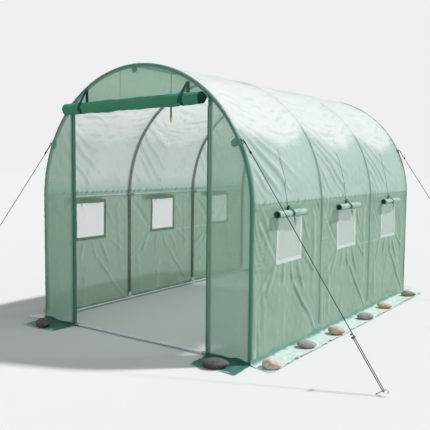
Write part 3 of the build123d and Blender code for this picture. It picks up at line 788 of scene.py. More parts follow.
look = endLook
across, up = shareGrid(*look["sideGrid"])
z = look["foot"] + up * (doorTop - look["foot"])
beside = doorHalf + across * (archHalf(z) - doorHalf)
area = np.mean(archHalf(np.linspace(0, doorTop, look["samples"])) - doorHalf) * doorTop
for side, word in bothSides:
    endPanel(
        f"{word}FrontCloth", f"{word}_front_panel", "sideFrontFilm", side * beside, z, -1, 61 + side,
        (hoopLine - doorHalf, doorTop), area,
    )
topHalf = float(archHalf(doorTop))
across, up = shareGrid(*look["topGrid"])
x = topHalf * (2 * across - 1)
z = doorTop + up * (wallHeight + np.sqrt(hoopLine ** 2 - x ** 2) - doorTop)
samples = np.linspace(-topHalf, topHalf, look["samples"])
lunette = wallHeight + np.sqrt(hoopLine ** 2 - samples ** 2) - doorTop
endPanel(
    "frontTopCloth", "front_top_panel", "frontFilm", x, z, -1, 71,
    (2 * topHalf, ridgeHeight - doorTop), np.mean(lunette) * 2 * topHalf,
)
across, up = shareGrid(*look["rearGrid"])
z = look["foot"] + up * (ridgeHeight - look["foot"])
endPanel(
    "rearCloth", "rear_panel", "frontFilm", (2 * across - 1) * archHalf(z), z, 1, 81,
    (2 * hoopLine, ridgeHeight), 2 * hoopLine * wallHeight + math.pi * hoopLine ** 2 / 2,
)

# the dark hem that turns round each end hoop
hemSizes = {
    "radius": 0.0168, "step": 0.008, "turns": 9, "tuck": 0.12, "foot": 0.001, "flat": 0.030,
    "pucker": (0.0008, 0.035), "puckerReach": 0.02,
}
size = hemSizes
alongs = steps([size["foot"], archLength - size["foot"]], size["step"])
alongGrid, turnGrid = crossed(alongs, np.linspace(-size["tuck"], math.pi / 2 + size["tuck"], size["turns"]))
angle = np.clip((alongGrid - wallHeight) / hoopLine, 0, math.pi)
below = np.clip(wallHeight - alongGrid, 0, None) + np.clip(alongGrid - archLength + wallHeight, 0, None)
for outward, end in bothEnds:
    pucker = ripples(alongGrid, turnGrid * size["puckerReach"], 91 + outward, *size["pucker"])
    radius = size["radius"] + pucker * np.sin(2 * turnGrid).clip(0, 1)
    reach = hoopLine + radius * np.sin(turnGrid)
    y = outward * (endLine + radius * np.cos(turnGrid))
    addSheet(
        f"{end}Hem", gridOf(reach * np.cos(angle), y, wallHeight + reach * np.sin(angle) - below),
        gridOf(alongGrid, turnGrid * size["radius"]), "hemFilm", "hem_cloth",
        dict(flat=(size["flat"], archLength), held="stretched", rests_on=[f"{end}_hoop"]), node=f"{end}_hem",
    )
print("ends sewn in")


# rolled-up cloth: a spiral sheet with soft dents and uneven layers at its ends
rollLook = {
    "outer": 1.2, "waistPower": 2.5, "tieReach": 0.05, "pleats": (0.05, 9), "pleatWander": (2, 0.3),
    # dents: how fast they change round the roll, height as a share of the radius, length
    "broadDents": (0.05, 0.06, 0.22), "fineDents": (0.08, 0.03, 0.06),
    "slip": (-0.008, 0.001), "slipPower": 6, "shrunk": 0.994, "stepPower": 1.5,
    "insideShade": 0.85, "rimShade": (0.011, 0.8), "streaks": (0.03, 0.10, 0.4),
    # light on the outer layer: usual, strength, turn and power
    "light": (0.1, 1.25, 0.35, 1.5),
}


def rollDents(x, around, seed, radius, dents):
    change, high, length = dents
    return ripples(x, around * change, seed, high * radius, length)


def rolledCloth(size, seed, ties):
    # points, flat places, painted shade and painted highlight: the roll is drawn in at its ties, with painted
    # shade in its open ends and at the rims of its ends, and a painted highlight along its top
    look = rollLook
    length, radius, core, pitch = (size[key] for key in ("length", "radius", "core", "pitch"))
    turnsCount = (radius - core) / pitch
    share = np.linspace(0, 1, int(turnsCount * size["perTurn"]))
    angles = 2 * math.pi * turnsCount * (share - 1) - math.pi / 2
    x, angle = crossed(np.linspace(-length / 2, length / 2, size["rows"]), angles)
    bare = np.broadcast_to(core + (radius - core) * share, x.shape)
    outside = rise(bare, radius - look["outer"] * pitch, look["outer"] * pitch)
    dents = rollDents(x, np.cos(angle), seed, radius, look["broadDents"])
    dents = dents + rollDents(x, np.sin(angle), seed + 1, radius, look["fineDents"])
    waist, waistHalf = size["waist"]
    drawn = sum(np.exp(-(abs(x - tie) / waistHalf) ** look["waistPower"]) for tie in ties)
    nearTie = sum(bell(x, tie, look["tieReach"]) for tie in ties)
    high, count = look["pleats"]
    pleats = np.sin(count * angle + ripples(x, angle, seed + 2, *look["pleatWander"]))
    pleats = high * radius * nearTie * pleats
    reach = bare + outside * (dents + pleats - waist * radius * drawn)
    layer = np.floor((angles - angles[0]) / (2 * math.pi)).astype(int)
    slip = np.random.default_rng(seed).uniform(*look["slip"], layer[-1] + 2)[layer]
    ends = 2 * abs(x) / length
    moved = x * look["shrunk"] + np.sign(x) * slip * ends ** look["slipPower"]
    stepped = size["stepBack"] * np.clip(2 * moved / length, 0, 1) ** 3
    moved = moved - stepped * ((bare - core) / (radius - core)) ** look["stepPower"]
    rim = bell(length / 2 - abs(x), 0, *look["rimShade"])
    shade = look["insideShade"] * (1 - outside) + outside * rim
    # patchy streaks in the painted highlight
    change, streakLength, stretch = look["streaks"]
    streaks = ripples(x, angle * change, seed + 3, size["highlightWander"], streakLength, stretch)
    usual, strength, turned, power = look["light"]
    lit = np.clip(usual + strength * np.sin(angle + turned) + streaks, 0, 1) ** power * outside
    points = gridOf(moved, reach * np.cos(angle), reach * np.sin(angle))
    return points, gridOf(x, angle * bare), np.clip(shade, 0, 1), lit


def rollCut(size, tie):
    # the flat cloth of a roll: its width, and the length of its spiral
    turnsCount = (size["radius"] - size["core"]) / size["pitch"]
    length = math.pi * (size["radius"] + size["core"]) * turnsCount
    return dict(flat=(size["length"], length), held="hung", rests_on=[tie])


def loopRound(bigCentre, bigRadius, smallCentre, smallRadius, count):
    # the outline of a strap pulled tight round a roll and a pin that lie along one line
    away = np.subtract(smallCentre, bigCentre)
    turn = math.atan2(away[1], away[0])
    lean = math.acos((bigRadius - smallRadius) / math.hypot(*away))
    big = bigCentre + bigRadius * circlePoints(turn + lean, turn + 2 * math.pi - lean, count)
    small = smallCentre + smallRadius * circlePoints(turn - lean, turn + lean, 9)
    return np.concatenate([big, small, big[:1]])


doorRollSizes = {
    "length": 1.33, "radius": 0.0445, "core": 0.010, "pitch": 0.0058, "rows": 160, "perTurn": 28,
    "stepBack": 0.038, "waist": (0.13, 0.018), "highlightWander": 0.35, "tilt": 0.019,
    "tieWidth": 0.031, "tieHalf": 0.0135, "tieWaist": (0.04, 0.15), "tieCrown": 0.0009,
    "tieWander": (0.0015, 0.2),
    "pull": 0.0022, "pin": 0.003, "pinOut": 0.0045, "pinDown": 0.005,
}
size = doorRollSizes
rollLow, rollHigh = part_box("door_roll")
tieLow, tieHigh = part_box("door_ties")
tiePlaces = (tieLow.x + size["tieHalf"], tieHigh.x - size["tieHalf"])
rollCentre = np.array([(rollLow.y + rollHigh.y) / 2, (rollLow.z + rollHigh.z) / 2])
grid, flatGrid, shade, lit = rolledCloth(size, 101, tiePlaces)
grid = grid + np.array([0, *rollCentre])
grid[..., 2] += size["tilt"] * grid[..., 0]
addSheet(
    "doorRoll", grid, flatGrid, "doorRollFilm", "door_cloth", rollCut(size, "doorTie1"),
    node="door_roll", pipeShade=shade, bleach=lit,
)
pin = np.array([-halfLength - size["pinOut"], tieHigh.z - size["pinDown"]])
for number, x in enumerate(tiePlaces):
    centre = rollCentre + np.array([0, size["tilt"] * x])
    loop = loopRound(centre, size["radius"] - size["pull"], pin, size["pin"], 48)
    across, row = crossed(np.linspace(-0.5, 0.5, 7), range(len(loop)))
    waist, narrower = size["tieWaist"]
    width = size["tieWidth"] * (1 - bell(loop[:, 1], pin[1], waist, narrower))
    outwards = loop - centre
    outwards = outwards / np.linalg.norm(outwards, axis=1)[:, None]
    around = loop[row] + outwards[row] * (size["tieCrown"] * (1 - (2 * across) ** 2))[..., None]
    wander = ripples(loop[row, 0] * 4, loop[row, 1] * 4, 151 + number, *size["tieWander"])
    run = distances(loop)
    addSheet(
        f"doorTie{number + 1}", gridOf(x + across * width[row] + wander, around[..., 0], around[..., 1]),
        gridOf(across * size["tieWidth"], run[row]), "greenStrap", "white_tape",
        dict(flat=(size["tieWidth"], float(run[-1])), held="stretched", rests_on=["frontTopCloth"]),
        node=None if number else "door_ties",
    )

windowRollSizes = {
    "length": 0.41, "radius": 0.0275, "core": 0.012, "pitch": 0.005, "rows": 72, "perTurn": 24,
    "stepBack": 0.0, "waist": (0.24, 0.034), "highlightWander": 0.6, "tieWidth": 0.032, "tieShare": 0.84,
    "tieWave": 0.002, "tieWaves": 0.35,
    "pin": 0.0015, "pinOut": 0.0035, "pinDown": 0.003, "knot": (0.0036, 0.006, 0.0054), "knotRope": 0.0032,
    "knotOut": 0.010, "knotUp": 0.002, "tail": 0.045, "tailRope": 0.0019, "tailPlace": 0.75,
    "tailAside": 0.006, "tailWave": 0.004, "tailSpread": 0.018, "tailLeans": (1, -0.6), "tailLonger": 0.3,
}
size = windowRollSizes
rollLow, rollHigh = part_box("window_rolls")
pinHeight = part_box("window_ties")[1].z - size["pinDown"]
rollReach = rollHigh.x - size["radius"]
rollHeight = (rollLow.z + rollHigh.z) / 2
rollShift = (rollLow.y + rollHigh.y) / 2 - bayMiddles[1]
places = [
    (side, word, number, middle) for side, word in bothSides for number, middle in enumerate(bayMiddles)
]
for side, word, number, middle in places:
    first = number == 0 and side > 0
    middle = middle + rollShift
    grid, flatGrid, shade, lit = rolledCloth(size, 111 + 7 * number + side, (0.0,))
    addSheet(
        f"{word}WindowRoll{number + 1}",
        gridOf(side * (rollReach - grid[..., 1]), middle + grid[..., 0], rollHeight + grid[..., 2]),
        flatGrid, "windowRollFilm", "cover_cloth", rollCut(size, f"{word}WindowTie{number + 1}"),
        node="window_rolls" if first else None, pipeShade=shade, bleach=lit,
    )
    # its tie: a loop, and a knot over the roll with two hanging ends
    pin = (halfWidth + size["pinOut"], pinHeight)
    loop = loopRound((rollReach, rollHeight), size["radius"] * size["tieShare"], pin, size["pin"], 36)
    across, row = crossed(np.linspace(-0.5, 0.5, 5) * size["tieWidth"], range(len(loop)))
    wave = size["tieWave"] * np.sin(row * size["tieWaves"] + number)
    run = distances(loop)
    addSheet(
        f"{word}WindowTie{number + 1}", gridOf(side * loop[row, 0], middle + across + wave, loop[row, 1]),
        gridOf(across, run[row]), "greenStrap", "white_tape",
        dict(flat=(size["tieWidth"], float(run[-1])), held="stretched", rests_on=[f"{word}WallCloth"]),
        node="window_ties" if first else None,
    )
    turns = np.linspace(0, 2 * math.pi, 40)
    knot = np.array(size["knot"]) * gridOf(np.cos(2 * turns), np.sin(3 * turns), np.cos(turns))
    knot = knot + [side * (halfWidth + size["knotOut"]), middle, pinHeight + size["knotUp"]]
    down = size["radius"] * size["tailPlace"]
    front = np.array([side * (rollReach + down), middle + size["tailAside"], rollHeight - down])
    ends = [(knot, size["knotRope"])]
    t = np.linspace(0, 1, 10)
    for lean in size["tailLeans"]:
        fall = -t * size["tail"] * (1 + size["tailLonger"] * lean)
        tail = gridOf(side * size["tailWave"] * np.sin(3 * t), lean * t * size["tailSpread"], fall)
        ends.append((front + tail, size["tailRope"]))
    addTubes(f"{word}TieEnds{number + 1}", ends, "greenStrap", 8)
print("rolls tied up")

# window nets and the white tape round them
tapeSizes = {
    "border": 0.026, "inwards": -0.1, "out": 0.0016, "wave": (0.00088, 0.12), "rise": (0.0008, 0.05),
    "netEdge": 0.004, "netIn": 0.0008, "net": (30, 34), "side": 25, "bands": 6,
}
size = tapeSizes
edge = size["netEdge"]
across, up = shareGrid(*size["net"])
netAcross = (2 * across - 1) * (windowHalf + edge)
netUp = windowLow.z - edge + up * (windowHigh.z - windowLow.z + 2 * edge)
halves = np.array([windowHalf, (windowHigh.z - windowLow.z) / 2])
centre = np.array([0, (windowLow.z + windowHigh.z) / 2])
corners = [centre + halves * corner for corner in ((-1, -1), (1, -1), (1, 1), (-1, 1), (-1, -1))]
shares = np.linspace(0, 1, size["side"] + 1)[:-1, None]
loop = np.concatenate([a + (b - a) * shares for a, b in zip(corners, corners[1:])] + [corners[:1]])
ringLength = 4 * (halves.sum() + size["border"])
tapeWidth = size["border"] * (1 - size["inwards"])
for side, word, number, middle in places:
    first = number == 0 and side > 0
    addSheet(
        f"{word}Net{number + 1}", skinPoint(upSide(side, netUp), middle + netAcross, -size["netIn"]),
        gridOf(middle + netAcross, netUp), "netFilm", "window_net",
        dict(flat=tuple(2 * (halves + edge)), held="stretched", rests_on=["window_frames"]),
        node="window_screens" if first else None,
    )
    # a closed band round the opening, from inner to outer edge, wavy along both
    bands = []
    for k, share in enumerate(np.linspace(size["inwards"], 1, size["bands"])):
        ring = centre + (loop - centre) * (1 + share * size["border"] / halves)
        if k in (0, size["bands"] - 1):
            ring = ring + ripples(loop[:, 0] * 3, loop[:, 1] * 3, 131 + number + k, *size["wave"])[:, None]
        bands.append(ring)
    across, up = np.moveaxis(np.array(bands), -1, 0)
    out = size["out"] + ripples(across, up, 141 + number, *size["rise"])
    addSheet(
        f"{word}WindowTape{number + 1}", skinPoint(upSide(side, up), across + middle, out),
        gridOf(across, up), "whiteTape", "white_tape",
        dict(flat=(tapeWidth, ringLength), held="stretched", rests_on=[f"{word}WallCloth"]),
        node="window_frames" if first else None,
    )
print("windows framed")

# the steel frame: round tubes with crimped joints and pressed sockets
steelSizes = {
    "hoop": 0.0125, "rail": 0.0095, "hoopSocket": 0.0143, "railSocket": 0.0118, "reach": 0.05, "sides": 20,
    "foot": 0.0033, "cup": 0.070, "cupFoot": 0.0005, "groundRail": 0.013, "joint": 0.0110, "endRail": 0.048,
    "railGap": 0.002, "saddle": 0.025, "step": 0.02,
    "turnIn": ((0, 0.0012), (0.0008, 0.0004), (0.002, 0)),  # from a tube's end, how much slimmer it is
    "lip": (0.0006, 0, -0.0012), "lipDeep": 0.0006, "lipRange": (0.0004, -0.0008),
    "groove": (0.002, 0.003, 0.004), "grooveHalf": 0.0025, "legStop": 0.5, "slack": 0.001,
}
postLine = doorHalf + steelSizes["hoop"]
low = steelSizes["groundRail"]


def archPoint(distance, place):
    angle = min(max((distance - wallHeight) / hoopLine, 0), math.pi)
    below = max(wallHeight - distance, 0) + max(distance - archLength + wallHeight, 0)
    return np.array([hoopLine * math.cos(angle), place, wallHeight + hoopLine * math.sin(angle) - below])


def straightTube(start, end, radius):
    # a tube with softly turned-in ends
    start, end = np.asarray(start, float), np.asarray(end, float)
    length = np.linalg.norm(end - start)
    stops = [stop for stop, slimmer in steelSizes["turnIn"]]
    stops = np.array(stops + [length - stop for stop in reversed(stops)])
    slims = [slimmer for stop, slimmer in steelSizes["turnIn"]]
    path = start + (end - start) * (stops / length)[:, None]
    return tubeMesh(path, radius - np.array(slims + slims[::-1]), steelSizes["sides"])


def hoopParts(place):
    size = steelSizes
    fittings = [wallHeight, archLength / 2, archLength - wallHeight]
    joints = [wallHeight + math.pi * hoopLine / 3, archLength - wallHeight - math.pi * hoopLine / 3]
    stops = [*np.arange(wallHeight, archLength - wallHeight, size["step"])]
    for stop in (size["foot"], size["legStop"]):
        stops += [stop, archLength - stop]
    for fitting in fittings:
        stops += [fitting + way * (size["reach"] + lip) for way in (-1, 1) for lip in size["lip"]]
    for joint in joints:
        stops += [joint, *[joint + way * groove for way in (-1, 1) for groove in size["groove"]]]
    stops = np.unique(np.round(stops, 5))
    radius = np.full(len(stops), size["hoop"])
    lipEnd, lipStart = (size["reach"] + lip for lip in size["lipRange"])
    for fitting in fittings:
        away = abs(stops - fitting)
        radius[away < lipEnd] = size["hoopSocket"] - size["lipDeep"]
        radius[away < lipStart] = size["hoopSocket"]
    for joint in joints:
        radius[abs(stops - joint) < size["grooveHalf"]] = size["joint"]
    parts = [tubeMesh([archPoint(stop, place) for stop in stops], radius, size["sides"], upHint=(0, 1, 0))]
    for fitting in fittings:
        centre = archPoint(fitting, place)
        for way in railWays(place):
            parts.append(straightTube(centre, centre + [0, way * size["reach"], 0], size["railSocket"]))
    return parts


def railWays(place):
    # the directions in which rails run from a hoop
    return [way for way in (-1, 1) if abs(place + way * bay) < endLine + steelSizes["slack"]]


def railParts(across, height):
    reach = steelSizes["reach"] - steelSizes["railGap"]
    spans = [(x, a + reach, b - reach) for x in across for a, b in zip(hoopPlaces, hoopPlaces[1:])]
    return [straightTube((x, a, height), (x, b, height), steelSizes["rail"]) for x, a, b in spans]


def groundRail(place):
    reach = hoopLine - steelSizes["endRail"]
    return [straightTube((-reach, place, low), (reach, place, low), steelSizes["rail"])]


def footParts(side, place):
    size = steelSizes
    ends = [(side, place + way * size["reach"], low) for way in railWays(place)]
    if abs(place) > endLine - size["slack"]:
        ends.append((side - math.copysign(size["reach"], side), place, low))
    cup = straightTube((side, place, size["cupFoot"]), (side, place, size["cup"]), size["hoopSocket"])
    return [cup] + [straightTube((side, place, low), end, size["railSocket"]) for end in ends]


def postParts(x, place):
    size = steelSizes
    top = wallHeight + math.sqrt(hoopLine ** 2 - x ** 2)
    distance = wallHeight + hoopLine * math.acos(x / hoopLine)
    saddle = [archPoint(distance + d, place) for d in np.linspace(-size["saddle"], size["saddle"], 7)]
    return [
        straightTube((x, place, low), (x, place, top), size["hoop"]),
        straightTube((x - size["reach"], place, low), (x + size["reach"], place, low), size["railSocket"]),
        tubeMesh(saddle, size["hoopSocket"], size["sides"], upHint=(0, 1, 0)),
    ]


legs = (-hoopLine, hoopLine)
frameParts = {
    "ridge_tube": railParts([0], ridgeHeight),
    "side_rails": railParts(legs, wallHeight),
    "ground_side_rails": railParts(legs, low),
    "front_ground_rail": groundRail(-endLine),
    "rear_ground_rail": groundRail(endLine),
    "left_door_post": postParts(-postLine, -endLine),
    "right_door_post": postParts(postLine, -endLine),
    "rear_posts": postParts(-postLine, endLine) + postParts(postLine, endLine),
    "foot_fittings": [part for x in legs for y in hoopPlaces for part in footParts(x, y)],
}
for node, place in zip(("front_hoop", "second_hoop", "third_hoop", "rear_hoop"), hoopPlaces):
    frameParts[node] = hoopParts(place)
for node, parts in frameParts.items():
    words = node.split("_")
    # painted light and shade: rails and fittings take the lit copy of the steel, the rest the shaded one
    metal = "litSteel" if words[-1] in ("rail", "rails", "fittings") else "shadedSteel"
    pieceName = words[0] + "".join(word.title() for word in words[1:])
    piece = joinPieces(pieceName, parts, metal)
    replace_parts(piece, node)
print("frame tubes drawn")

# the green sleeve that turns round each door post, with its zip
sleeveSizes = {
    "low": 0.022, "high": 1.671, "step": 0.016, "wave": (0.0006, 0.06, 2.0), "waveRange": (-0.0004, 0.002),
    "waveOut": 0.4, "onPanel": (-0.018, 0.006, 0.50), "zipWaves": 40, "zip": 0.0016, "zipLine": 0.6455,
    "zipWave": 0.0004, "zipOut": 0.0018,
    # seen from above on the right, from the panel round the post: across, and out from the post's line
    "plan": [(0.6665, 0.0008), (0.6600, 0.0012), (0.6500, 0.0014), (0.6445, 0.0000), (0.6430, -0.0040),
             (0.6428, -0.0170), (0.6430, -0.0240), (0.6438, -0.0278)],
}
size = sleeveSizes
plan = np.array(size["plan"])
heights = np.arange(size["low"], size["high"], size["step"])
run = distances(plan)
up, runGrid = crossed(heights, run)
for side, word in bothSides:
    wave = ripples(runGrid, up, 161 + side, *size["wave"])
    x = side * (plan[:, 0] - np.clip(wave, *size["waveRange"]))
    y = -halfLength - plan[:, 1] - size["waveOut"] * wave
    # painted light: the sleeve is paler where it lies on the panel, as light comes through it there
    addSheet(
        f"{word}DoorSleeve", gridOf(x, y, up), gridOf(runGrid, up),
        "hemFilm", "hem_cloth",
        dict(flat=(run[-1], heights[-1] - heights[0]), held="stretched", rests_on=[f"{word}DoorPost"]),
        node="door_zip_tapes" if side > 0 else None, bleach=rise(-runGrid, *size["onPanel"]),
    )
    zipLine = side * (size["zipLine"] + size["zipWave"] * np.sin(heights * size["zipWaves"]))
    zipPath = gridOf(zipLine, -halfLength - size["zipOut"], heights)
    addTubes(f"{word}DoorZip", [(zipPath, size["zip"])], "greenStrap", 6)
print("door edges sewn")

# the stones that weigh the skirt down: length, width, height and turn in degrees, with their tones
stoneSizes = {
    "front": (0.838, 0.155), "frontStone": (0.182, 0.116, 0.062, 30), "leftLag": 0.110,
    # (distance from the front, distance out), the stone, its tone
    "side": [
        ((0.050, 0.130), (0.136, 0.112, 0.062, 25), "pale"),
        ((0.590, 0.102), (0.146, 0.100, 0.056, 38), "grey"),
        ((1.040, 0.130), (0.134, 0.104, 0.062, 20), "tan"),
        ((1.635, 0.128), (0.146, 0.098, 0.056, 34), "grey"),
        ((2.135, 0.116), (0.140, 0.092, 0.048, 16), "tan"),
        ((2.790, 0.110), (0.158, 0.094, 0.052, 28), "brown"),
    ],
    "rear": [((0.146, 0.100, 0.056, 20), "grey"), ((0.136, 0.110, 0.062, -15), "tan"),
             ((0.150, 0.098, 0.054, 10), "brown")],
    "rearPitch": 0.720, "rearReach": 0.112, "reach": 0.105, "press": 1.5, "around": 40, "up": 23,
    "bulge": (0.010, 0.030), "bulgeWave": (1.5, 5.0), "pared": (0.80, 0.93), "faces": 9, "roundness": 1.15,
    "lean": (0.18, 0.34), "narrowing": 0.16, "belly": 0.56, "flatFrom": 0.36, "flatShare": 0.25,
    "above": 0.0020, "softness": 0.05, "seed": 300,
}
stoneRows = []  # place, size, way of turning, tone
for side in (-1, 1):
    across, reach = stoneSizes["front"]
    # painted shade: the front stones take the darker tone, as they lie in the tunnel's shadow
    stoneRows.append(((side * across, -halfLength - reach), stoneSizes["frontStone"], side, "dark"))
    for (along, out), size, tone in stoneSizes["side"]:
        lag = stoneSizes["leftLag"] if side < 0 else 0
        stoneRows.append(((side * (halfWidth + out), along + lag - halfLength), size, side, tone))
for number, (size, tone) in enumerate(stoneSizes["rear"]):
    spot = ((number - 1) * stoneSizes["rearPitch"], halfLength + stoneSizes["rearReach"])
    stoneRows.append((spot, size, 1, tone))

# the skirt on the ground: it runs out from the foot of the cloth, wavy where no stone holds it down
skirtLook = {
    "side": 0.180, "end": 0.205, "above": 0.0016, "wave": (0.007, 0.11), "waveInner": 0.35,
    "curl": 0.008, "curlFrom": (0.82, 0.18), "curlWave": (0.5, 0.16), "curlUsual": 0.6,
    "fillet": (0.007, 0.008), "filletWave": (0.3, 0.13), "riseWave": (0.25, 0.16), "footWave": (0.006, 0.10),
    "foot": (0.011, 0.004, 0.88), "edge": (0.006, 0.8), "endEdge": (0.007, 0.8), "paleWave": (0.012, 0.2),
    "pale": 0.9, "paleFrom": 1.3, "paleWidth": 0.020, "paleLeast": 0.006, "curlMost": 1.4,
    "filletUsual": 0.8, "riseUsual": 0.75, "sideRows": 340, "outRows": 24, "outStart": -0.006,
    "sideFlat": (0.21, 3.05), "endTurned": 0.026, "cornerPower": 2.2,
    "step": 0.009, "border": (0.004, 0.008), "corner": 0.045, "cornerFrom": (0.72, 0.28), "spread": 0.050,
    "endSpread": 0.020, "endWave": (0.004, 21), "sideOut": 0.0018, "endOut": 0.0022,
    "sideFoot": (-0.030, -0.022, -0.014, -0.007, -0.002), "endFoot": (-0.026, -0.018, -0.010, -0.003),
}


def bordered(low, high, count):
    # even steps with finer ones along both edges
    fine, inner = skirtLook["border"]
    return [low, low + fine, *np.linspace(low + inner, high - inner, count), high - fine, high]


def outSteps(foot, length):
    # steps away from the foot of the cloth, from where it comes down to its outer edge
    return np.array([*foot, *bordered(skirtLook["outStart"], length, skirtLook["outRows"])[2:]])


def pressedDown(x, y):
    # one where a stone lies, falling to nothing round it
    total = np.zeros(np.shape(x))
    for (stoneX, stoneY), size, way, tone in stoneRows:
        away = ((x - stoneX) ** 2 + (y - stoneY) ** 2) / stoneSizes["reach"] ** 2
        total = np.maximum(total, np.exp(-away))
    return np.clip(stoneSizes["press"] * total, 0, 1)


def skirtSheet(name, node, material, run, out, place, seed, flat):
    # run goes along the foot of the cloth, out away from it; place gives the flat spot of both
    look = skirtLook
    runGrid, outGrid = crossed(run, out)
    flatOut = np.clip(outGrid, 0, None)
    x, y = place(runGrid, flatOut)
    free = 1 - pressedDown(x, y)
    share = np.clip(outGrid / out[-1], 0, 1)
    fromEdge = out[-1] - outGrid
    high, length = look["wave"]
    wave = (look["waveInner"] + (1 - look["waveInner"]) * share) * abs(ripples(x, y, seed, high, length))
    curl = (look["curlUsual"] + ripples(x, y, seed + 1, *look["curlWave"])).clip(0, look["curlMost"])
    curl = look["curl"] * rise(share, *look["curlFrom"]) ** 2 * curl
    high, length = look["fillet"]
    fillet = look["filletUsual"] + ripples(x, y, seed + 2, *look["filletWave"])
    fillet = high * np.exp(-flatOut / length) * fillet
    upwards = look["riseUsual"] + ripples(x, y, seed + 3, *look["riseWave"])
    upwards = np.clip(-outGrid, 0, None) * upwards
    z = look["above"] + (wave + curl) * free + upwards + fillet
    # the skirt's own darker hem lines along the outer edge and the ends
    width, strength = look["edge"]
    edge = rise(-fromEdge, -width, width, strength if material == "skirtFilm" else 0.0)
    width, strength = look["endEdge"]
    endEdge = rise(-np.minimum(runGrid - run[0], run[-1] - runGrid), -width, width, strength)
    # painted shade: a dark band where the cloth comes down onto the skirt over the ground rail
    start, width, strength = look["foot"]
    foot = outGrid - start - ripples(x, y, seed + 4, *look["footWave"])
    foot = strength / (1 + np.exp(foot / width))
    # paler along the outer edge
    paleWidth = look["paleWidth"] + ripples(x, y, seed + 5, *look["paleWave"])
    paleWidth = paleWidth.clip(look["paleLeast"], None)
    addSheet(
        name, gridOf(x, y, z), gridOf(runGrid, outGrid), material, "cover_cloth",
        dict(flat=flat, held="draped", rests_on=["floor"]), node=node,
        pipeShade=np.maximum.reduce([edge, endEdge, foot]),
        bleach=look["pale"] * np.clip(look["paleFrom"] - fromEdge / paleWidth, 0, 1),
    )


def sidePlace(side):
    def place(run, out):
        share = out / skirtLook["side"]
        corner = skirtLook["corner"] * rise(share, *skirtLook["cornerFrom"]) ** skirtLook["cornerPower"]
        reach = halfLength + skirtLook["spread"] * share - corner
        return side * (halfWidth + skirtLook["sideOut"] + out), (run / halfLength - 1) * reach
    return place


def endPlace(outward, inner, outer):
    def place(run, out):
        share = out / skirtLook["end"]
        low = inner + math.copysign(skirtLook["endSpread"], inner) * share
        high = outer + math.copysign(skirtLook["endSpread"], outer) * share
        deep, turns = skirtLook["endWave"]
        y = outward * (halfLength + skirtLook["endOut"] + out + deep * share * np.sin(run * turns))
        return low + (high - low) * run / (outer - inner), y
    return place


sideRun = np.array(bordered(0, 2 * halfLength, skirtLook["sideRows"]))
sideOut = outSteps(skirtLook["sideFoot"], skirtLook["side"])
endOut = outSteps(skirtLook["endFoot"], skirtLook["end"])
for side, word in bothSides:
    skirtSheet(
        f"{word}Skirt", f"{word}_skirt", "skirtFilm", sideRun, sideOut, sidePlace(side), 171 + side,
        skirtLook["sideFlat"],
    )
for name, node, material, outward, inner, outer in (
    ("frontLeftSkirt", "front_left_skirt", "flapFilm", -1, -halfWidth, -doorHalf),
    ("frontRightSkirt", "front_right_skirt", "flapFilm", -1, doorHalf, halfWidth),
    ("rearSkirt", "rear_skirt", "skirtFilm", 1, -halfWidth, halfWidth),
):
    width = outer - inner
    run = np.array(bordered(0, width, int(width / skirtLook["step"])))
    skirtSheet(
        name, node, material, run, endOut, endPlace(outward, inner, outer), 181 + int(10 * inner),
        (skirtLook["end"] + skirtLook["endTurned"], width),
    )
print("skirts laid out")

# water-worn stones, each a flattened ball with its own dents
size = stoneSizes
around, upwards = crossed(
    np.linspace(0, 2 * math.pi, size["around"] + 1)[:-1],
    np.linspace(-0.5, 0.5, size["up"] + 2)[1:-1] * math.pi,
)
sphere = gridOf(np.cos(upwards) * np.cos(around), np.cos(upwards) * np.sin(around), np.sin(upwards))
ball = np.concatenate([sphere.reshape(-1, 3), [[0, 0, -1], [0, 0, 1]]])
index = np.arange(size["around"] * size["up"]).reshape(size["around"], size["up"])
nextRow = np.roll(index, -1, 0)
bottom, top = index.size, index.size + 1
stoneFaces = np.stack([index[:, :-1], nextRow[:, :-1], nextRow[:, 1:], index[:, 1:]], -1)
stoneFaces = stoneFaces.reshape(-1, 4).tolist()
stoneFaces += [(int(b), int(a), bottom) for a, b in zip(index[:, 0], nextRow[:, 0])]
stoneFaces += [(int(a), int(b), top) for a, b in zip(index[:, -1], nextRow[:, -1])]


def randomPole(chance):
    pole = chance.normal(size=3)
    return ball @ (pole / np.linalg.norm(pole))


for number, ((x, y), (long, wide, tall, turn), way, tone) in enumerate(stoneRows):
    chance = np.random.default_rng(size["seed"] + number)
    bulge = np.zeros(len(ball))
    for _ in range(size["faces"]):
        pole = randomPole(chance)
        high = chance.uniform(*size["bulge"])
        bulge += high * np.sin(pole * chance.uniform(*size["bulgeWave"]) + chance.uniform(0, 6))
    # broad worn faces: the ball is pared down by a few planes
    reach = np.ones(len(ball))
    for _ in range(size["faces"]):
        pole = randomPole(chance)
        depth = chance.uniform(*size["pared"])
        reach = np.minimum(reach, depth / np.clip(pole, depth, None) + size["softness"])
    rounded = np.sign(ball) * np.abs(ball) ** np.array([1.0, 1.0, size["roundness"]])
    form = rounded * (reach * (1 + bulge))[:, None]
    form = form / np.abs(form).max(axis=0) * np.array([long / 2, wide / 2, tall * size["belly"]])
    slope = 2 * form[:, 0] / long
    form[:, 2] *= 1 - chance.uniform(*size["lean"]) * slope * (form[:, 2] > 0)
    form[:, 1] *= 1 - size["narrowing"] * slope
    flat = -tall * size["flatFrom"]
    form[:, 2] = np.where(form[:, 2] < flat, flat + (form[:, 2] - flat) * size["flatShare"], form[:, 2])
    form[:, 2] -= form[:, 2].min()
    form[:, 2] *= tall / form[:, 2].max()
    spin = Matrix.Rotation(math.radians(way * turn), 3, "Z")
    spot = form @ np.array(spin).T + [x, y, size["above"]]
    stone = addPiece(f"stone{number + 1}", spot, stoneFaces, f"{tone}Stone")
    if number == 0:
        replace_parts(stone, "skirt_stones")
print("stones laid down")

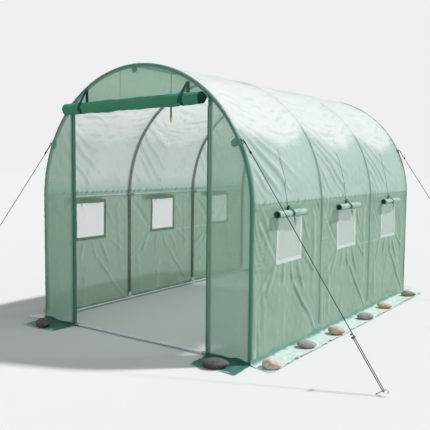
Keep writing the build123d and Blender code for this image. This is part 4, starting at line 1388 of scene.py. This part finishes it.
# cloth patches over the end hoops, at the crown and where the ropes pull, with a tab for each ring
patchSizes = {
    "half": 0.027, "inwards": 0.050, "back": 0.024, "corner": 0.021, "strapAngle": 26.5, "hemOut": 0.0182,
    "panelOut": 0.0016, "edgeWave": (0.0012, 130), "puff": (0.0008, 0.03), "puffAcross": 0.03,
    "puffFrom": 0.01, "puffOut": 0.7, "panelEdge": 0.006, "backEdge": 0.004, "tab": (0.016, 0.030),
    # the tab seen along the hoop: distance out from the cover, and across the hoop's line
    "tabLoop": [(0.000, 0.0022), (0.006, 0.0024), (0.012, 0.0022), (0.014, 0.0),
                (0.012, -0.0022), (0.006, -0.0024), (0.000, -0.0022)],
}
size = patchSizes
inner = np.linspace(size["inwards"], size["panelEdge"], 12)
section = [(hoopLine - d, halfLength + size["panelOut"]) for d in inner]
quarter = size["hemOut"] * circlePoints(0, math.pi / 2, 7)
section += [(hoopLine + s, endLine + c) for c, s in quarter]
section += [(hoopLine + size["hemOut"], endLine - d) for d in np.linspace(size["backEdge"], size["back"], 6)]
section = np.array(section)
run = distances(section)
inwards = np.clip(size["corner"] - np.minimum(run, run[-1] - run), 0, None)
rounded = size["corner"] - np.sqrt(np.clip(size["corner"] ** 2 - inwards ** 2, 0, None))
across, row = crossed(np.linspace(-1, 1, 11), range(len(section)))
tabWide, tabLong = size["tab"]
tabAcross, tabRow = crossed(np.linspace(-0.5, 0.5, 5) * tabWide, range(len(size["tabLoop"])))
tabOut, tabLevel = np.moveaxis(np.array(size["tabLoop"])[tabRow], -1, 0)
for outward, end in bothEnds:
    for angle, word in ((90, "Crown"), (size["strapAngle"], "Right"), (180 - size["strapAngle"], "Left")):
        deep, turns = size["edgeWave"]
        half = size["half"] - rounded + deep * np.sin(run * turns + angle)
        local = math.radians(angle) + across * half[row] / hoopLine
        puff = ripples(across * size["puffAcross"], run[row], 191 + int(angle), *size["puff"])
        reach = section[row, 0] + puff * (section[row, 0] > hoopLine + size["puffFrom"])
        y = outward * (section[row, 1] + puff * size["puffOut"])
        addSheet(
            f"{end}{word}Patch", gridOf(reach * np.cos(local), y, wallHeight + reach * np.sin(local)),
            gridOf(across * size["half"], run[row]), "strapPatch", "hem_cloth",
            dict(flat=(2 * size["half"], run[-1]), held="stretched", rests_on=[f"{end}Hem"]),
            node="hoop_straps" if outward < 0 and angle == 90 else None,
        )
        if angle == 90:
            continue
        cosine, sine = math.cos(math.radians(angle)), math.sin(math.radians(angle))
        x = (halfWidth + tabOut) * cosine - tabAcross * sine
        z = wallHeight + (halfWidth + tabOut) * sine + tabAcross * cosine
        tabFlat = crossed(np.linspace(0, tabWide, 5), np.linspace(0, tabLong, len(size["tabLoop"])))
        addSheet(
            f"{end}{word}RingTab", gridOf(x, outward * (endLine + tabLevel), z), gridOf(*tabFlat),
            "greenStrap", "hem_cloth",
            dict(flat=size["tab"], held="stretched", rests_on=[f"{end}{word}Patch"]),
        )

# the sewn cord above each window, and the fine seam in the front's top panel
cordSizes = {
    "radius": 0.0013, "top": 1.42, "low": 1.012, "out": 0.0012, "wave": (0.004, 9),
    "frontAt": -0.137, "frontRadius": 0.0012, "frontOut": 0.0042, "frontGap": (0.05, 0.02),
}
size = cordSizes
ups = np.linspace(size["low"], size["top"], 40)
deep, turns = size["wave"]
for side, word in bothSides:
    cords = []
    for middle in bayMiddles:
        cord = skinPoint(upSide(side, ups), middle + rollShift + deep * np.sin(ups * turns), size["out"])
        cords.append((cord, size["radius"]))
    addTubes(f"{word}WindowCords", cords, "seamCord", 6)
foot, head = size["frontGap"]
high = wallHeight + math.sqrt(hoopLine ** 2 - size["frontAt"] ** 2) - head
topSeam = gridOf(size["frontAt"], -halfLength - size["frontOut"], np.linspace(doorTop + foot, high, 12))
addTubes("frontTopSeam", [(topSeam, size["frontRadius"])], "seamCord", 6)
print("patches and cords sewn on")

# the guy ropes with rings, runners and pegs; each goes round its ring and its peg and back to the runner
ropeSizes = {
    "radius": 0.0025, "topTurn": 0.0065, "pegTurn": 0.010, "tail": 0.090, "loopShare": 0.198,
    "ringSlack": 0.001, "pegSlack": 0.002, "ring": 0.012, "wire": 0.00175, "stand": 0.016, "beside": 0.0052,
    "pegOut": 0.875, "leftSplay": 0.345, "pegGrip": 0.030, "pegRadius": 0.0035, "pegAbove": 0.016,
    "pegFoot": 0.0003, "hookTurn": 0.011, "hookEnd": 0.004, "straight": 0.02, "tailEnd": 0.012,
    "tailTop": 0.030, "overRing": 0.003, "knotShare": 0.9, "runner": (0.046, 0.016, 0.009),
    "runnerDown": 0.008, "runnerBlunt": 1.6, "runnerSlope": 0.4,
    # the runner's outlines: level through its thickness, and size
    "runnerLayers": [(-1, 0.80), (-0.8, 0.94), (-0.4, 1.0), (0.4, 1.0), (0.8, 0.94), (1, 0.80)],
    # how wide, how thick, how many turns, how far apart
    "knot": (0.0065, 0.0042, 3.5, 0.0044), "stopper": (0.0030, 0.0030, 2.5, 0.0042), "stopperUp": 0.012,
}


def unit(vector):
    return vector / np.linalg.norm(vector)


def coil(centre, across, along, up, wide, thick, turns, pitch):
    # a few turns of rope round two strands
    t = np.linspace(0, turns, int(turns * 18))[:, None]
    a = 2 * math.pi * t
    return centre + across * wide * np.cos(a) + up * thick * np.sin(a) + along * pitch * (t - turns / 2)


def runnerShape(centre, across, along, up):
    # a flat rounded bar: outlines stacked through its thickness
    size = ropeSizes
    wide, deep, thick = (value / 2 for value in size["runner"])
    cosine, sine = circlePoints(0, 2 * math.pi, 33)[:-1].T[..., None]
    x = across * (np.clip(cosine * size["runnerBlunt"], -1, 1) * (wide - deep) + cosine * deep)
    y = along * sine * deep
    points = []
    for level, share in size["runnerLayers"]:
        narrowed = 1 - (1 - share) * size["runnerSlope"]
        points.append(centre + x * narrowed + y * share + up * thick * level)
    return np.concatenate(points), ringFaces(len(points), len(x))


rings, runners, pegs = [], [], []
size = ropeSizes
turn = math.radians(patchSizes["strapAngle"])
reach = halfWidth + size["stand"]
halfTurn = np.linspace(0, math.pi, 13)
for outward, end in bothEnds:
    for side, word in ((-1, "Left"), (1, "Right")):
        ringHeight = wallHeight + reach * math.sin(turn)
        ringCentre = np.array([side * reach * math.cos(turn), outward * endLine, ringHeight])
        splay = size["leftSplay"] if side < 0 else 0
        grip = np.array([side * (halfWidth + size["pegOut"]), outward * (endLine + splay), size["pegGrip"]])
        along = unit(grip - ringCentre)
        level = np.array([0, outward, 0])
        across = unit(level - along * level.dot(along))
        up = np.cross(across, along) * (-side * outward)
        up = up if up[2] > 0 else -up
        aside = across * (size["pegTurn"] - size["topTurn"])
        grip = grip + aside
        top = ringCentre + aside + along * (size["ring"] + size["ringSlack"])
        length = np.linalg.norm(grip - along * size["pegSlack"] - top)
        runnerAt = length * (1 - size["loopShare"])

        def ropePoints(down, over):
            return gridOf(down, over) @ [along, across] + top

        t, p, tail, straight = (size[key] for key in ("topTurn", "pegTurn", "tail", "straight"))
        path = np.concatenate([
            ropePoints(np.linspace(tail + size["tailEnd"], size["tailTop"], 6), size["beside"] - p),
            [ropePoints(size["tailEnd"], 2 * t - p - size["overRing"])],
            ropePoints(-t * np.sin(halfTurn), t - p + t * np.cos(halfTurn)),
            ropePoints(np.linspace(straight, length - straight, 30), -p),
            ropePoints(length + p * np.sin(halfTurn), -p * np.cos(halfTurn)),
            ropePoints(np.linspace(length - straight, runnerAt, 8), p),
        ])
        knot = coil(ropePoints(tail, size["beside"] / 2 - p), across, along, up, *size["knot"])
        stopper = coil(ropePoints(runnerAt - size["stopperUp"], p), across, along, up, *size["stopper"])
        knotRadius = size["radius"] * size["knotShare"]
        strands = [(path, size["radius"]), (knot, knotRadius), (stopper, knotRadius)]
        rope = addTubes(f"{end}{word}GuyRope", strands, "blackRope", 10)
        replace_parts(rope, f"{end}_{word.lower()}_guy_rope")

        circle = ringCentre + size["ring"] * circlePoints(0, 2 * math.pi, 33)[:-1] @ [along, across]
        rings.append(tubeMesh(circle, size["wire"], 10, closed=True, upHint=up))
        runnerCentre = ropePoints(runnerAt + size["runnerDown"], 0)
        runners.append(runnerShape(runnerCentre, across, along, up))
        lowest = size["pegRadius"] * math.sqrt(1 - up[2] ** 2) + size["pegFoot"]
        foot = grip - up * ((grip[2] - lowest) / up[2])
        neck = grip + up * size["pegAbove"]
        turned = size["hookTurn"] * gridOf(np.sin(halfTurn), 1 - np.cos(halfTurn))
        hook = neck + turned @ [up, along]
        rod = [foot + (neck - foot) * share for share in (0, 0.25, 0.5, 0.75)]
        rod = np.concatenate([rod, hook, [hook[-1] - up * size["hookEnd"]]])
        pegs.append(tubeMesh(rod, size["pegRadius"], 14, upHint=across))
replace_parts(joinPieces("ropeRings", rings, "litSteel"), "strap_rings")
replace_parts(joinPieces("ropeRunners", runners, "blackPlastic"), "rope_sliders")
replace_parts(joinPieces("groundPegs", pegs, "litSteel"), "ground_pegs")
print("ropes pulled tight")

# the watering drop: a clip round the ridge tube, a thin hose, a stiff pipe and a turned brass nozzle
dropSizes = {
    "fromFront": 0.410, "nozzleTop": 1.646, "nozzleTip": 1.605,
    # each tube's upper and lower end, and its radius
    "tubes": [
        (ridgeHeight, 1.764, 0.003), (1.765, 1.646, 0.0065), (1.769, 1.757, 0.0078), (1.654, 1.647, 0.0078),
    ],
    "clip": (0.016, 0.012),
    # share of the nozzle's height from its tip, and its width there
    "turned": [(0, 0.0054), (0.02, 0.0068), (0.10, 0.0090), (0.30, 0.0090), (0.34, 0.0098), (0.42, 0.0136),
               (0.50, 0.0168), (0.56, 0.0170), (0.60, 0.0160), (0.64, 0.0170), (0.86, 0.0170), (0.92, 0.0164),
               (1.0, 0.0144)],
}
size = dropSizes
y = size["fromFront"] - halfLength
long, radius = size["clip"]
parts = [straightTube((0, y - long / 2, ridgeHeight), (0, y + long / 2, ridgeHeight), radius)]
parts += [straightTube((0, y, high), (0, y, low), radius) for high, low, radius in size["tubes"]]
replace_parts(joinPieces("wateringDrop", parts, "blackPlastic"), "watering_drop")
share, width = np.array(size["turned"]).T
axis = gridOf(0, y, size["nozzleTip"] + share * (size["nozzleTop"] - size["nozzleTip"]))
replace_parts(addTubes("sprayNozzle", [(axis, width / 2)], "turnedBrass", 24), "spray_nozzle")
print("watering drop hung")

# floor, light and camera
stageLook = {
    "floorSeen": (0.665, 0.67, 0.665), "floorBounce": (0.36, 0.37, 0.35), "floorReach": 60,
    "floorDown": 0.0005,
    "world": 0.50, "worldSeen": 0.87, "worldTone": (0.93, 0.96, 1.0), "worldToneSeen": (1.0, 1.0, 1.0),
    "sun": 3.4, "sunSoft": 0.06, "sunFrom": (0.46, 0.42, 0.78),
}
look = stageLook


def seenDirectly(tree):
    # one for what the camera sees, straight or by way of glass and metal
    rays = addNode(tree, "ShaderNodeLightPath").outputs
    either = mathNode(tree, "MAXIMUM", rays["Is Camera Ray"], rays["Is Glossy Ray"])
    return mathNode(tree, "MAXIMUM", either, rays["Is Transmission Ray"])


tree = newTree("paleFloor")
floorColour = mixColour(tree, seenDirectly(tree), look["floorBounce"], look["floorSeen"])
finishTree(tree, addNode(tree, "ShaderNodeBsdfDiffuse", {"Color": floorColour}))
floorMesh = bpy.data.meshes.new("floor")
reach = look["floorReach"]
corners = [(-reach, -reach, 0), (reach, -reach, 0), (reach, reach, 0), (-reach, reach, 0)]
floorMesh.from_pydata(corners, [], [(0, 1, 2, 3)])
floorMesh.materials.append(materials["paleFloor"])
floor = bpy.data.objects.new("floor", floorMesh)
bpy.context.scene.collection.objects.link(floor)
floor.location.z = -look["floorDown"]

world = bpy.data.worlds.new("studio")
bpy.context.scene.world = world
world.use_nodes = True
tree = world.node_tree
background = tree.nodes["Background"]
worldColour = mixColour(tree, seenDirectly(tree), look["worldTone"], look["worldToneSeen"])
tree.links.new(worldColour, background.inputs["Color"])
level = mathNode(tree, "MULTIPLY_ADD", seenDirectly(tree), look["worldSeen"] - look["world"], look["world"])
tree.links.new(level, background.inputs["Strength"])

sun = bpy.data.objects.new("sun", bpy.data.lights.new("sun", "SUN"))
sun.data.energy = look["sun"]
sun.data.angle = look["sunSoft"]
sun.rotation_euler = Vector(look["sunFrom"]).to_track_quat("Z", "Y").to_euler()
bpy.context.scene.collection.objects.link(sun)

cameraSizes = {
    "place": (3.056, -4.835, 1.295), "yaw": 0.613, "pitch": -0.082, "roll": 0.010, "lens": 52.13,
    "sensor": 36,
}
camera = bpy.data.objects.new("camera", bpy.data.cameras.new("camera"))
camera.data.lens = cameraSizes["lens"]
camera.data.sensor_width = cameraSizes["sensor"]
pitched = Matrix.Rotation(math.pi / 2 + cameraSizes["pitch"], 4, "X")
turned = Matrix.Rotation(cameraSizes["yaw"], 4, "Z") @ pitched
place = Matrix.Translation(cameraSizes["place"])
camera.matrix_world = place @ turned @ Matrix.Rotation(cameraSizes["roll"], 4, "Z")
bpy.context.scene.collection.objects.link(camera)
bpy.context.scene.camera = camera
bpy.context.scene.view_settings.view_transform = "Standard"
print("stage set")
